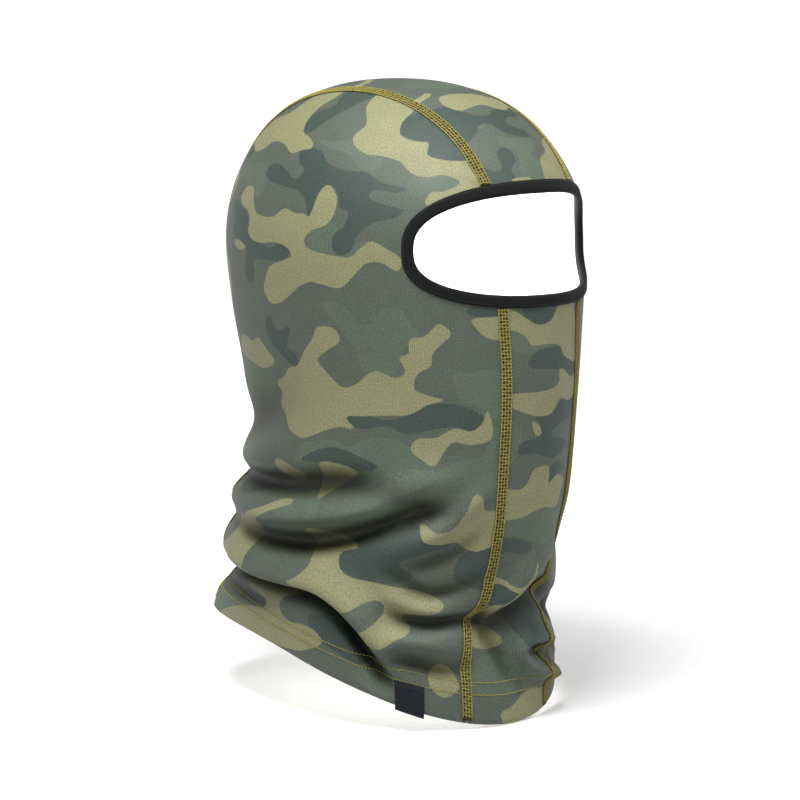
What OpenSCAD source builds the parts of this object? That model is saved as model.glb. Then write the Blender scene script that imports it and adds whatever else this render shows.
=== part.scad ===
// Balaclava: a close-fitting knitted hood with one eye opening and a long neck, cut from four
// cloth panels that are joined edge to edge with flat seams, bound round the eyes and hemmed.
// The origin is the middle of the head at eye level. -Y is the face, +X is the wearer's left, +Z is up.

/* [Head] */
// Width over the cloth at the ears
head_w = 160; // [130:1:190]
// Reach from the origin to the brow
head_front = 99; // [80:1:120]
// Reach from the origin to the back of the head
head_back = 102; // [84:1:124]
// Height of the crown above the origin
crown_h = 81.5; // [68:0.5:98]
// How far the top of the crown leans to the back
crown_lean = 4.5; // [0:0.5:10]

/* [Neck] */
// Drop from the origin to the hem at the sides
hem_drop = 202; // [165:1:245]
// Cheek section: full width, reach to the front, reach to the back
cheek = [156, 98, 98]; // [70:0.5:190]
// Jaw section: full width, reach to the front, reach to the back
jaw = [148, 97, 90]; // [70:0.5:180]
// Throat section: full width, reach to the front, reach to the back
throat = [147, 90, 93]; // [70:0.5:180]
// Collar section: full width, reach to the front, reach to the back
collar = [150, 77, 106]; // [60:0.5:190]
// Hem section: full width, reach to the front, reach to the back
hem = [152, 77, 117]; // [60:0.5:190]
// Rise of the hem for each millimetre from front to back
hem_tilt = 0.27; // [0:0.01:0.35]
// Droop of the hem at 100 mm in front of or behind the origin
hem_dish = 18; // [0:1:25]

/* [Eye opening] */
// Straight width of the opening
eye_w = 121; // [90:1:130]
// Height of the opening's middle above the origin
eye_level = 2.5; // [-6:0.5:8]
// Opening above its middle
eye_up = 26.5; // [18:0.5:32]
// Opening below its middle
eye_down = 23.5; // [16:0.5:30]
// Squareness of the opening's upper corners
eye_round_up = 2.4; // [2:0.1:3.2]
// Squareness of the opening's lower corners
eye_round_down = 2.8; // [2:0.1:3.2]

/* [Cloth and tape] */
// Thickness of the knitted cloth
cloth_t = 1.4; // [1:0.1:2.5]
// Gap between two panels inside a seam
butt_gap = 0.3; // [0.2:0.05:0.6]
// Clearance of thread and tape from the cloth
seat = 0.25; // [0.2:0.05:0.4]
// Clearance inside the fold of a tape
fold_room = 0.6; // [0.5:0.05:0.9]
// Width of the eye binding that shows
binding_w = 5.5; // [4:0.5:9]
// Thickness of the binding and label tape
tape_t = 0.8; // [0.5:0.1:1.2]

/* [Seams] */
// Width of a flat seam's thread cover
cover_w = 5.4; // [4:0.2:8]
// Thickness of the thread cover
cover_t = 0.6; // [0.4:0.1:1]
// Width of the crown strip at the brow
crown_w_brow = 59; // [44:1:76]
// Width of the crown strip at the top of the crown
crown_w_top = 64; // [44:1:80]
// Width of the crown strip down the back
crown_w_back = 68; // [44:1:84]
// Width of the face strip under the eye opening
face_w_top = 54; // [40:1:70]
// Width of the face strip at the throat
face_w_throat = 46; // [36:1:66]
// Width of the face strip at the hem
face_w_hem = 54; // [40:1:70]

/* [Hem] */
// Height of the turned-up hem
hem_turn = 17; // [14:1:28]
// Height of the lower stitch row above the hem
row_low = 9.5; // [6:0.5:14]
// Spacing of the two stitch rows
row_gauge = 4.5; // [4:0.5:8]
// Width of a stitch row
stitch_w = 0.7; // [0.5:0.1:1]
// Height of a stitch row off its carrier
stitch_t = 0.4; // [0.3:0.1:0.6]
// Width of the hem label
label_w = 14; // [8:1:24]
// Height of the hem label
label_h = 8.5; // [6:0.5:14]
// Angle of the label from the face, round to the wearer's right
label_at = 44; // [35:1:80]

/* [Hidden] */

// Rows and columns of the computed surfaces.
BODY_ROWS = 20;
EYE_ROWS = 11;
DOME_ROWS = 11;
FOLD_ROWS = 3;
SIDE_COLS = 17;
STRIP_COLS = 10;
RIM_STEPS = 80;
RING_STEPS = 96;

RIGHT = -1;
LEFT = 1;

// Where the sections lie, as shares of the drop, and how much of the hem's tilt and dish each has.
CHEEK_AT = 0.16;
JAW_AT = 0.35;
THROAT_AT = 0.60;
COLLAR_AT = 0.82;
THROAT_TILT = 0.30;
THROAT_DISH = 0.05;
COLLAR_TILT = 0.70;
COLLAR_DISH = 0.35;

// Sections down the body: [drop, half width, front reach, back reach, tilt, dish].
NO_SLOPE = [0, 0, 0, 0, 0, 0];
STATIONS = [
    [0, head_w / 2, head_front, head_back, 0, 0],
    [CHEEK_AT * hem_drop, cheek[0] / 2, cheek[1], cheek[2], 0, 0],
    [JAW_AT * hem_drop, jaw[0] / 2, jaw[1], jaw[2], 0, 0],
    [THROAT_AT * hem_drop, throat[0] / 2, throat[1], throat[2],
        THROAT_TILT * hem_tilt, THROAT_DISH * hem_dish],
    [COLLAR_AT * hem_drop, collar[0] / 2, collar[1], collar[2],
        COLLAR_TILT * hem_tilt, COLLAR_DISH * hem_dish],
    [hem_drop, hem[0] / 2, hem[1], hem[2], hem_tilt, hem_dish]
];
LAST = len(STATIONS) - 1;

// The dome above the origin is the head's section scaled by (1 - up^2)^(1 / DOME_POWER).
DOME_POWER = 2.3;
function dome_scale(level) = pow(max(0, 1 - pow(level / crown_h, 2)), 1 / DOME_POWER);
function dome_width_level(half) = crown_h * sqrt(1 - pow(2 * half / head_w, DOME_POWER));

// Smooth curve through the stations: a cubic with the slope of each station's two neighbours.
function between(a, b) = (b - a) / (b[0] - a[0]);
function slope(i) =
    i == 0 ? NO_SLOPE : between(STATIONS[i - 1], STATIONS[min(i + 1, LAST)]);
function cubic(a, b, slope_a, slope_b, span, s) =
    (2 * s * s * s - 3 * s * s + 1) * a + (s * s * s - 2 * s * s + s) * span * slope_a
    + (3 * s * s - 2 * s * s * s) * b + (s * s * s - s * s) * span * slope_b;
function station_above(drop) = max([for (i = [0 : LAST - 1]) STATIONS[i][0] <= drop ? i : 0]);
function body_section(drop) =
    let (i = station_above(drop), span = STATIONS[i + 1][0] - STATIONS[i][0])
    cubic(STATIONS[i], STATIONS[i + 1], slope(i), slope(i + 1), span, (drop - STATIONS[i][0]) / span);
function dome_section(level) =
    let (r = dome_scale(level)) [-level, r * head_w / 2, r * head_front, r * head_back, 0, 0];
function section_at(level) = level > 0 ? dome_section(level) : body_section(-level);
function lean_at(level) = level > 0 ? crown_lean * pow(level / crown_h, 2) : 0;

// A point of the cloth's outer face. phi is 0 at the face and grows towards the wearer's left.
function face_point(phi, level) =
    let (s = section_at(level), reach = cos(phi) > 0 ? s[2] : s[3], y = lean_at(level) - reach * cos(phi))
    [s[1] * sin(phi), y, level + s[4] * y - s[5] * pow(y / 100, 2)];

// Direction straight out of the cloth: from the dome's own equation, or from two small steps.
function unit(v) = v / norm(v);
DOME_RIM = 0.0001;
function dome_normal(p) =
    let (
        level = p[2],
        y = p[1] - lean_at(level),
        reach = y < 0 ? head_front : head_back,
        flat = max(DOME_RIM, 1 - pow(level / crown_h, 2)),
        rise = pow(flat, 2 / DOME_POWER - 1) * 4 / DOME_POWER * level / pow(crown_h, 2)
    )
    unit([8 * p[0] / pow(head_w, 2), 2 * y / pow(reach, 2),
          rise - 4 * y * crown_lean * level / pow(reach * crown_h, 2)]);
STEP = 0.5;
function body_normal(phi, level) =
    unit(cross(face_point(phi + STEP, level) - face_point(phi - STEP, level),
               face_point(phi, level + STEP) - face_point(phi, level - STEP)));
function cloth_point(phi, level, off) =
    let (p = face_point(phi, level)) p + off * (level > 0 ? dome_normal(p) : body_normal(phi, level));

// Seam lines: each strip's half width down its length. The crown strip's turn runs from the brow
// at BROW_SIDE_TURN, over the top at 90, to 180 at the back.
function crown_half_at(turn) =
    let (half = (turn < 90 ? crown_w_brow : crown_w_back) / 2)
    let (most = turn < 90 ? pow(cos(BROW_SIDE_TURN), 2) : 1)
    crown_w_top / 2 + (half - crown_w_top / 2) * pow(cos(turn), 2) / most;
NARROW_AT = 0.65;
function face_half_at(level) =
    let (share = -level / hem_drop)
    share < NARROW_AT
        ? face_w_top / 2 + (face_w_throat - face_w_top) / 2 * sin(share / NARROW_AT * 90)
        : face_w_hem / 2 + (face_w_throat - face_w_hem) / 2 * pow(sin((1 - share) / (1 - NARROW_AT) * 90), 2);
function phi_of(x, level) = asin(max(-1, min(1, x / section_at(level)[1])));

// The eye opening's outline, carried outwards by a margin, for a turn of 0 to 360 degrees.
EYE_HALF_ANGLE = asin(eye_w / head_w);
FACE_ROUNDNESS = 0.94;
MM_PER_DEGREE = PI / 180 * FACE_ROUNDNESS * head_front;
function signed_pow(v, n) = sign(v) * pow(abs(v), n);
function eye_phi(turn, margin) =
    let (n = sin(turn) > 0 ? eye_round_up : eye_round_down)
    (EYE_HALF_ANGLE + margin / MM_PER_DEGREE) * signed_pow(cos(turn), 2 / n);
function eye_height(turn, margin) =
    let (n = sin(turn) > 0 ? eye_round_up : eye_round_down, half = sin(turn) > 0 ? eye_up : eye_down)
    eye_level + (half + margin) * signed_pow(sin(turn), 2 / n);
function eye_edge_level(phi, margin, side) =
    let (
        n = side > 0 ? eye_round_up : eye_round_down,
        half = (side > 0 ? eye_up : eye_down) + margin,
        share = min(1, abs(phi) / (EYE_HALF_ANGLE + margin / MM_PER_DEGREE))
    )
    eye_level + side * half * pow(1 - pow(share, n), 1 / n);
function eye_edge_phi(level, margin) =
    let (
        n = level > eye_level ? eye_round_up : eye_round_down,
        half = (level > eye_level ? eye_up : eye_down) + margin,
        share = min(1, abs(level - eye_level) / half)
    )
    (EYE_HALF_ANGLE + margin / MM_PER_DEGREE) * pow(1 - pow(share, n), 1 / n);

// Where a seam line meets the eye opening, found by three short steps.
function brow_level(half, margin, tries = 3, level = eye_level + eye_up) =
    tries == 0 ? level : brow_level(half, margin, tries - 1, eye_edge_level(phi_of(half, level), margin, 1));
function cheek_level(margin, tries = 3, level = eye_level - eye_down) =
    let (phi = phi_of(face_half_at(level), level))
    tries == 0 ? level : cheek_level(margin, tries - 1, eye_edge_level(phi, margin, -1));

EDGE = tape_t + fold_room;
RIM_MARGIN = binding_w + butt_gap;
SIDE_TOP = dome_width_level(crown_w_top / 2);
BROW = brow_level(crown_w_brow / 2, EDGE);
CHEEK = cheek_level(EDGE);
BROW_SIDE_TURN = asin(BROW / SIDE_TOP);

// Level of a point on the crown strip: turn runs from 0 at the front, over the top, to 180 at the back.
function crown_level(x, turn) = dome_width_level(abs(x)) * sin(turn);
function turn_at_level(level) = asin(min(1, level / SIDE_TOP));
function crown_phi(x, turn) =
    let (phi = phi_of(x, crown_level(x, turn))) turn < 90 ? phi : 180 - phi;

// A sheet is a grid of points on two faces, closed round its four edges.
function flatten(rows) = [for (row = rows) each row];
function grid_faces(rows, cols, first, flip) =
    [for (j = [0 : rows - 2]) for (i = [0 : cols - 2])
        let (a = first + j * cols + i, b = a + 1, c = a + cols, d = c + 1)
        each flip ? [[a, b, d], [a, d, c]] : [[a, d, b], [a, c, d]]];
function edge_faces(line, shift, flip) =
    [for (i = [0 : len(line) - 2])
        let (a = line[i], b = line[i + 1], c = a + shift, d = b + shift)
        each flip ? [[a, d, b], [a, c, d]] : [[a, b, d], [a, d, c]]];
module sheet(outer, inner) {
    rows = len(outer);
    cols = len(outer[0]);
    count = rows * cols;
    polyhedron(
        points = concat(flatten(outer), flatten(inner)),
        faces = concat(
            grid_faces(rows, cols, 0, false),
            grid_faces(rows, cols, count, true),
            edge_faces([for (i = [0 : cols - 1]) i], count, false),
            edge_faces([for (i = [0 : cols - 1]) count - cols + i], count, true),
            edge_faces([for (j = [0 : rows - 1]) j * cols], count, true),
            edge_faces([for (j = [0 : rows - 1]) j * cols + cols - 1], count, false)
        )
    );
}

// A tube carries a closed outline along a path, round to its start or capped at both ends by
// the given triangles of the outline.
module tube(loops, cap = []) {
    steps = len(loops);
    size = len(loops[0]);
    last = cap == [] ? steps - 1 : steps - 2;
    sides = [for (j = [0 : last]) for (i = [0 : size - 1])
        let (a = j * size + i, b = j * size + (i + 1) % size)
        let (c = (j + 1) % steps * size + i, d = (j + 1) % steps * size + (i + 1) % size)
        each [[a, d, b], [a, c, d]]];
    end = (steps - 1) * size;
    far_cap = [for (t = cap) [end + t[2], end + t[1], end + t[0]]];
    polyhedron(points = flatten(loops), faces = concat(sides, cap, far_cap));
}

// Rows of a panel from its turned-up edge, round the fold at the hem and up: [level, face, back].
TURN_GAP = 0.3;
FOLD_R = cloth_t + TURN_GAP / 2;
HEM = -hem_drop;
TURN_FACE = -2 * cloth_t - TURN_GAP;
TURN_BACK = -cloth_t - TURN_GAP;
HEM_ROWS = concat(
    [for (i = [0 : 2]) [HEM + hem_turn * (1 - i / 3), HEM + hem_turn * (1 - i / 3), TURN_FACE, TURN_BACK]],
    [for (i = [0 : FOLD_ROWS]) let (a = 180 * i / FOLD_ROWS)
        [HEM - FOLD_R * sin(a), HEM - TURN_GAP / 2 * sin(a),
         -FOLD_R - FOLD_R * cos(a), -FOLD_R - TURN_GAP / 2 * cos(a)]]
);
function body_levels(top) = [for (i = [1 : BODY_ROWS]) HEM + (top - HEM) * i / BODY_ROWS];
function hem_part(lines, side) = [for (row = HEM_ROWS)
    [for (phi = lines) cloth_point(phi, row[side], row[side + 2])]];

function spread(from, to, cols) = [for (i = [0 : cols - 1]) from + (to - from) * i / (cols - 1)];
function eased(share) = 0.5 * share + 0.25 * (1 - cos(180 * share));
function eased_spread(from, to, cols) = [for (share = spread(0, 1, cols)) from + (to - from) * eased(share)];

// Side panels: between the face seam, the eye opening and the crown seam.
function back_edge(level) = level > 0
    ? crown_phi(crown_half_at(180 - turn_at_level(level)) + butt_gap / 2, 180 - turn_at_level(level))
    : 180 - phi_of((crown_w_back + butt_gap) / 2, level);
function brow_edge(level) =
    crown_phi(crown_half_at(turn_at_level(level)) + butt_gap / 2, turn_at_level(level));
function cheek_edge(level) = phi_of(face_half_at(level) + butt_gap / 2, level);

function corner_turn(half, level, round) =
    acos(pow(phi_of(half + butt_gap / 2, level) / eye_phi(0, EDGE), round / 2));
CHEEK_TURN = corner_turn(face_half_at(CHEEK), CHEEK, eye_round_down);
BROW_TURN = corner_turn(crown_w_brow / 2, BROW, eye_round_up);
EYE_TURNS = concat(
    [for (i = [1 : EYE_ROWS]) -CHEEK_TURN * (1 - i / EYE_ROWS)],
    [for (i = [1 : EYE_ROWS]) BROW_TURN * i / EYE_ROWS]
);
SIDE_LAST_TURN = 86;
SIDE_ROWS = concat(
    [for (level = body_levels(CHEEK)) [level, cheek_edge(level)]],
    [for (turn = EYE_TURNS) [eye_height(turn, EDGE), eye_phi(turn, EDGE)]],
    [for (i = [1 : DOME_ROWS])
        let (turn = BROW_SIDE_TURN + (SIDE_LAST_TURN - BROW_SIDE_TURN) * i / DOME_ROWS)
        let (level = SIDE_TOP * sin(turn)) [level, brow_edge(level)]]
);
function side_face(side, off) = [for (row = SIDE_ROWS)
    [for (phi = eased_spread(row[1], back_edge(row[0]), SIDE_COLS)) cloth_point(side * phi, row[0], off)]];
module side_panel(side) {
    lines = side * eased_spread(cheek_edge(HEM), back_edge(HEM), SIDE_COLS);
    outer = concat(hem_part(lines, 0), side_face(side, 0));
    inner = concat(hem_part(lines, 1), side_face(side, -cloth_t));
    if (side == LEFT) sheet(outer, inner);
    else sheet(inner, outer);
}

// Front panel: from the eye opening down the face to the hem.
FRONT_SHARES = spread(-1, 1, STRIP_COLS);
function front_half(level) = face_half_at(level) - butt_gap / 2;
function front_lines(level) = [for (share = FRONT_SHARES) phi_of(share * front_half(level), level)];
function front_row(i, off) = [for (share = FRONT_SHARES)
    let (
        rim_phi = phi_of(share * front_half(CHEEK), CHEEK),
        rim = eye_edge_level(rim_phi, EDGE, -1),
        level = HEM + (rim - HEM) * i / BODY_ROWS
    )
    cloth_point(phi_of(share * front_half(level), level), level, off)];
module front_panel() {
    color("darkolivegreen")
        sheet(
            concat(hem_part(front_lines(HEM), 0), [for (i = [1 : BODY_ROWS]) front_row(i, 0)]),
            concat(hem_part(front_lines(HEM), 1), [for (i = [1 : BODY_ROWS]) front_row(i, -cloth_t)])
        );
}

// Crown and back panel: one strip from the brow over the top and down the back to the hem.
function back_lines(level) = [for (share = FRONT_SHARES)
    180 - phi_of(share * (crown_w_back - butt_gap) / 2, level)];
function crown_row(turn_share, off) = [for (share = FRONT_SHARES)
    let (
        brow_x = share * (crown_w_brow - butt_gap) / 2,
        start = asin(brow_level(abs(brow_x), EDGE) / dome_width_level(abs(brow_x))),
        turn = 180 - (180 - start) * turn_share,
        x = share * (crown_half_at(turn) - butt_gap / 2)
    )
    cloth_point(crown_phi(x, turn), crown_level(x, turn), off)];
CROWN_ROWS = 2 * DOME_ROWS;
function crown_face(off) = concat(
    [for (i = [1 : BODY_ROWS]) [for (phi = back_lines(HEM * (1 - i / BODY_ROWS)))
        cloth_point(phi, HEM * (1 - i / BODY_ROWS), off)]],
    [for (i = [1 : CROWN_ROWS]) crown_row(i / CROWN_ROWS, off)]
);
module crown_back_panel() {
    color("olivedrab")
        sheet(
            concat(hem_part(back_lines(HEM), 1), crown_face(-cloth_t)),
            concat(hem_part(back_lines(HEM), 0), crown_face(0))
        );
}

// Tape folded round an edge: [distance from the edge, distance off the cloth's face].
INNER_SEAT = 2 * seat;
SHOULDER_IN = 0.7;
SHOULDER_UP = 0.4;
function folded_tape(leg, edge, stack) =
    let (fold = edge - fold_room, far = -stack - INNER_SEAT)
    [
        [leg, seat + tape_t],
        [fold, seat + tape_t],
        [fold - SHOULDER_IN * tape_t, seat + SHOULDER_UP * tape_t],
        [fold - tape_t, -stack / 2],
        [fold - SHOULDER_IN * tape_t, far - SHOULDER_UP * tape_t],
        [fold, far - tape_t],
        [leg, far - tape_t],
        [leg, far],
        [fold, far],
        [fold, seat],
        [leg, seat]
    ];
TAPE_CAP = [
    [0, 1, 10], [1, 9, 10], [1, 2, 9], [2, 3, 9], [3, 8, 9], [3, 4, 8], [4, 5, 8], [5, 7, 8], [5, 6, 7]
];
function rim_loop(turn, outline) = [for (p = outline)
    cloth_point(eye_phi(turn, p[0]), eye_height(turn, p[0]), p[1])];
// Turns round the opening, closer together at its flat top and bottom.
RIM_EASE = 1.4;
function quarter_turn(share) = 90 * (1 - pow(1 - share, RIM_EASE));
function rim_turn(q) =
    q < 1 ? quarter_turn(q)
    : q < 2 ? 180 - quarter_turn(2 - q)
    : q < 3 ? 180 + quarter_turn(q - 2)
    : 360 - quarter_turn(4 - q);
RIM_TURNS = [for (i = [0 : RIM_STEPS - 1]) rim_turn(4 * i / RIM_STEPS)];
module eye_binding() {
    color([0.13, 0.14, 0.14])
        tube([for (turn = RIM_TURNS) rim_loop(turn, folded_tape(binding_w, EDGE, cloth_t))]);
}

// A bead of thread: a flat rectangle, seen end on.
function bead(at, low) = [
    [at + stitch_w / 2, low + stitch_t],
    [at - stitch_w / 2, low + stitch_t],
    [at - stitch_w / 2, low],
    [at + stitch_w / 2, low]
];
BEAD_CAP = [[0, 1, 2], [0, 2, 3]];
BINDING_STITCH_IN = 1.2;
TAPE_TOP = seat + tape_t;
ON_TAPE = TAPE_TOP + 0.4 * seat;
module binding_stitch() {
    color("black")
        tube([for (turn = RIM_TURNS)
            rim_loop(turn, bead(binding_w - BINDING_STITCH_IN, ON_TAPE))]);
}

// Thread covers over the seams, outside, and the looper threads that mirror them inside.
OUTSIDE = [seat, seat + cover_t];
INSIDE = [-cloth_t - INNER_SEAT - cover_t, -cloth_t - INNER_SEAT];
CROSS = spread(-0.5, 0.5, 4);
function crown_seam_row(i, side, off) = [for (share = CROSS)
    let (
        x0 = crown_w_brow / 2 + share * cover_w,
        start = asin(brow_level(x0, RIM_MARGIN) / dome_width_level(x0)),
        turn = start + (180 - start) * i / CROWN_ROWS,
        x = crown_half_at(turn) + share * cover_w
    )
    cloth_point(side * crown_phi(x, turn), crown_level(x, turn), off)];
function back_seam_row(level, side, off) = [for (share = CROSS)
    cloth_point(side * (180 - phi_of(crown_w_back / 2 + share * cover_w, level)), level, off)];
function crown_seam_face(side, end, off) = concat(
    [for (i = [0 : CROWN_ROWS]) crown_seam_row(i, side, off)],
    [for (i = [1 : BODY_ROWS]) back_seam_row(end * i / BODY_ROWS, side, off)]
);
module crown_seam(side, end, band) {
    outer = crown_seam_face(side, end, band[1]);
    inner = crown_seam_face(side, end, band[0]);
    if (side == LEFT) sheet(inner, outer);
    else sheet(outer, inner);
}
function face_seam_row(i, side, end, off) = [for (share = CROSS)
    let (
        rim_x = face_half_at(CHEEK) + share * cover_w,
        rim = eye_edge_level(phi_of(rim_x, CHEEK), RIM_MARGIN, -1),
        level = rim + (end - rim) * i / BODY_ROWS
    )
    cloth_point(side * phi_of(face_half_at(level) + share * cover_w, level), level, off)];
module face_seam(side, end, band) {
    outer = [for (i = [0 : BODY_ROWS]) face_seam_row(i, side, end, band[1])];
    inner = [for (i = [0 : BODY_ROWS]) face_seam_row(i, side, end, band[0])];
    if (side == LEFT) sheet(inner, outer);
    else sheet(outer, inner);
}
LOOPER_END = HEM + hem_turn + 1;

// Hem stitch rows: one run of thread on each panel, stopping short of the seam covers.
COVER_GAP = 0.4;
function arc_ends(level) =
    let (
        clear = cover_w / 2 + COVER_GAP,
        front = face_half_at(level),
        back = crown_w_back / 2
    )
    [
        [-phi_of(front - clear, level), phi_of(front - clear, level)],
        [phi_of(front + clear, level), 180 - phi_of(back + clear, level)],
        [180 - phi_of(back - clear, level), 180 + phi_of(back - clear, level)],
        [180 + phi_of(back + clear, level), 360 - phi_of(front + clear, level)]
    ];
function ring_loop(phi, outline) = [for (p = outline) cloth_point(phi, HEM + p[0], p[1])];
module hem_row(height) {
    for (ends = arc_ends(HEM + height)) {
        steps = ceil((ends[1] - ends[0]) * RING_STEPS / 360);
        tube([for (i = [0 : steps])
            ring_loop(ends[0] + (ends[1] - ends[0]) * i / steps, bead(height, seat))], BEAD_CAP);
    }
}
function looper_band(low, high) =
    let (near = TURN_FACE - INNER_SEAT)
    [[high, near], [low, near], [low, near - cover_t], [high, near - cover_t]];
module hem_looper() {
    color("darkkhaki")
        tube([for (i = [0 : RING_STEPS - 1]) ring_loop(360 * i / RING_STEPS,
            looper_band(row_low - stitch_w / 2, row_low + row_gauge + stitch_w / 2))]);
}

// The woven label is folded round the hem edge and caught by the lower stitch row.
LABEL_STEPS = 6;
LABEL_SPREAD = label_w / hem[0] * 2 * 180 / PI;
LABEL_STITCH_IN = 1.6;
LABEL_STITCH_SPREAD = 0.9 * LABEL_SPREAD;
function label_turns(width) = [for (i = [0 : LABEL_STEPS]) -label_at + width * (i / LABEL_STEPS - 0.5)];
module hem_label() {
    color([0.16, 0.17, 0.19])
        tube([for (phi = label_turns(LABEL_SPREAD))
            ring_loop(phi, folded_tape(label_h, -FOLD_R, 2 * cloth_t + TURN_GAP))], TAPE_CAP);
}
module label_stitch() {
    color("black")
        tube([for (phi = label_turns(LABEL_STITCH_SPREAD))
            ring_loop(phi, bead(label_h - LABEL_STITCH_IN, ON_TAPE))], BEAD_CAP);
}

module right_side_panel() { color("darkkhaki") side_panel(RIGHT); }
module left_side_panel() { color("darkkhaki") side_panel(LEFT); }
module right_crown_seam_cover() { color("olive") crown_seam(RIGHT, HEM, OUTSIDE); }
module left_crown_seam_cover() { color("olive") crown_seam(LEFT, HEM, OUTSIDE); }
module right_face_seam_cover() { color("olive") face_seam(RIGHT, HEM, OUTSIDE); }
module left_face_seam_cover() { color("olive") face_seam(LEFT, HEM, OUTSIDE); }
module right_crown_seam_looper() { color("olive") crown_seam(RIGHT, LOOPER_END, INSIDE); }
module left_crown_seam_looper() { color("olive") crown_seam(LEFT, LOOPER_END, INSIDE); }
module right_face_seam_looper() { color("olive") face_seam(RIGHT, LOOPER_END, INSIDE); }
module left_face_seam_looper() { color("olive") face_seam(LEFT, LOOPER_END, INSIDE); }
module hem_stitch_upper() { color("olive") hem_row(row_low + row_gauge); }
module hem_stitch_lower() { color("olive") hem_row(row_low); }

right_side_panel();
left_side_panel();
crown_back_panel();
front_panel();
eye_binding();
binding_stitch();
right_crown_seam_cover();
left_crown_seam_cover();
right_face_seam_cover();
left_face_seam_cover();
right_crown_seam_looper();
left_crown_seam_looper();
right_face_seam_looper();
left_face_seam_looper();
hem_stitch_upper();
hem_stitch_lower();
hem_looper();
hem_label();
label_stitch();
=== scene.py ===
# %% [markdown]
# # A knitted balaclava
# A balaclava is a close hood of stretchy knit. This one is cut from four panels: two sides, one
# strip that runs from the brow over the crown and down the back, and one strip down the face.
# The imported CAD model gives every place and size. It is opened first and is never moved.

# %% Open the frame
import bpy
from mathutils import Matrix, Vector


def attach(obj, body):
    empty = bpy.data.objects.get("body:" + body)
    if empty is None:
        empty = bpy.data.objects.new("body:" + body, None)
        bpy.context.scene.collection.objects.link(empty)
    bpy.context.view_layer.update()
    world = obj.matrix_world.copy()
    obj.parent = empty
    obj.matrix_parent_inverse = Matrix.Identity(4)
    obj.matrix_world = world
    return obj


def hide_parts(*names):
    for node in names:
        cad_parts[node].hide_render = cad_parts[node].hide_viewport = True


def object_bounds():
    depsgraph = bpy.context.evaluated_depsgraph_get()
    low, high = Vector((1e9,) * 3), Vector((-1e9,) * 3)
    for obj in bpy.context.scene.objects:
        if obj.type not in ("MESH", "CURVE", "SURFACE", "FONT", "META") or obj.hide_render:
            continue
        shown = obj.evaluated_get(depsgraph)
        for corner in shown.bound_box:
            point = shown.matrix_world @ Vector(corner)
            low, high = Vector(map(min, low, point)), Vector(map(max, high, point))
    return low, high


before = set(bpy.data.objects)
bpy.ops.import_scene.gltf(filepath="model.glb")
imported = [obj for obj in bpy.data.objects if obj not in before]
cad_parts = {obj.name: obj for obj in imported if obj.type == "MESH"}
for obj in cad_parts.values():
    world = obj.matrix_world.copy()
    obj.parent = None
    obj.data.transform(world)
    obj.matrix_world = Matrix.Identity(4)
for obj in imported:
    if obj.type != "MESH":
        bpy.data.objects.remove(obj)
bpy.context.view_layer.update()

from types import SimpleNamespace

import bpy
import numpy as np
from mathutils import Matrix

print("frame nodes:", len(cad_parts))

# %% [markdown]
# ## The shape under the cloth
# The hood is a stack of level rings. Each ring is wide at the ears and reaches further to the
# back than to the face, so a ring needs a half width, a front reach and a back reach. A ruled
# table of six rings, joined by smooth cubics, is easier to tune than a sculpted head.
# Work is done in millimetres and turned to metres when a mesh is made.

# %% Rings down the neck
MM = 0.001
HEAD_HALF, HEAD_FRONT, HEAD_BACK = 80.0, 99.0, 102.0
CROWN, CROWN_LEAN, DOME_POWER = 81.5, 4.5, 2.3
HEM = -202.0
# reach at which a ring is dished by all of the table's dish
DISH_REACH = 100.0
# radians round and millimetres up, the small steps that give a slope
ROUND_STEP, UP_STEP = 0.004, 0.35
# drop, half width, front reach, back reach, tilt, dish
RINGS = np.array([
    [0, 80, 99, 102, 0, 0],
    [32.3, 78, 98, 98, 0, 0],
    [70.7, 74, 97, 90, 0, 0],
    [121.2, 73.5, 90, 93, 0.081, 0.9],
    [165.6, 75, 77, 106, 0.189, 6.3],
    [202, 76, 77, 117, 0.27, 18],
], float)


def ring_slopes():
    """Slope at each ring: the rise between its neighbours over their distance, none at the top."""
    after = np.vstack([RINGS[1:], RINGS[-1:]])
    before = np.vstack([RINGS[:1], RINGS[:-1]])
    slope = (after - before) / (after - before)[:, :1]
    slope[0] = 0
    return slope


SLOPES = ring_slopes()


def dome(level):
    """Scale of the ring at a level above the ears: (1 - up squared) to the power 1 / DOME_POWER."""
    up = np.clip(level, 0, CROWN) / CROWN
    return np.maximum(1 - up**2, 0) ** (1 / DOME_POWER)


def ring(level):
    """Half width, two reaches, tilt, dish and lean: a cubic between rings, a dome above them."""
    level = np.asarray(level, float)
    drop = np.maximum(-level, 0)
    i = np.clip(np.searchsorted(RINGS[:, 0], drop, side="right") - 1, 0, len(RINGS) - 2)
    a, b = RINGS[i], RINGS[i + 1]
    span = (b - a)[..., :1]
    s = (drop[..., None] - a[..., :1]) / span
    low = ((2 * s**3 - 3 * s**2 + 1) * a + (s**3 - 2 * s**2 + s) * span * SLOPES[i]
           + (3 * s**2 - 2 * s**3) * b + (s**3 - s**2) * span * SLOPES[i + 1])
    size = np.array([HEAD_HALF, HEAD_FRONT, HEAD_BACK, 0, 0]) * dome(level)[..., None]
    out = np.where((level > 0)[..., None], size, low[..., 1:])
    lean = np.where(level > 0, CROWN_LEAN * (np.clip(level, 0, CROWN) / CROWN) ** 2, 0)
    return (*np.moveaxis(out, -1, 0), lean)


def smooth_shape(phi, level):
    """Point on the unfolded cloth: width * sin(phi), reach * cos(phi), tilted and dished."""
    wide, front, back, tilt, dish, lean = ring(level)
    y = lean - np.where(np.cos(phi) > 0, front, back) * np.cos(phi)
    return np.stack([wide * np.sin(phi), y, level + tilt * y - dish * (y / DISH_REACH) ** 2], -1)


def unit(v):
    """Vectors scaled to length one."""
    return v / np.maximum(np.linalg.norm(v, axis=-1, keepdims=True), 1e-12)


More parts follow.
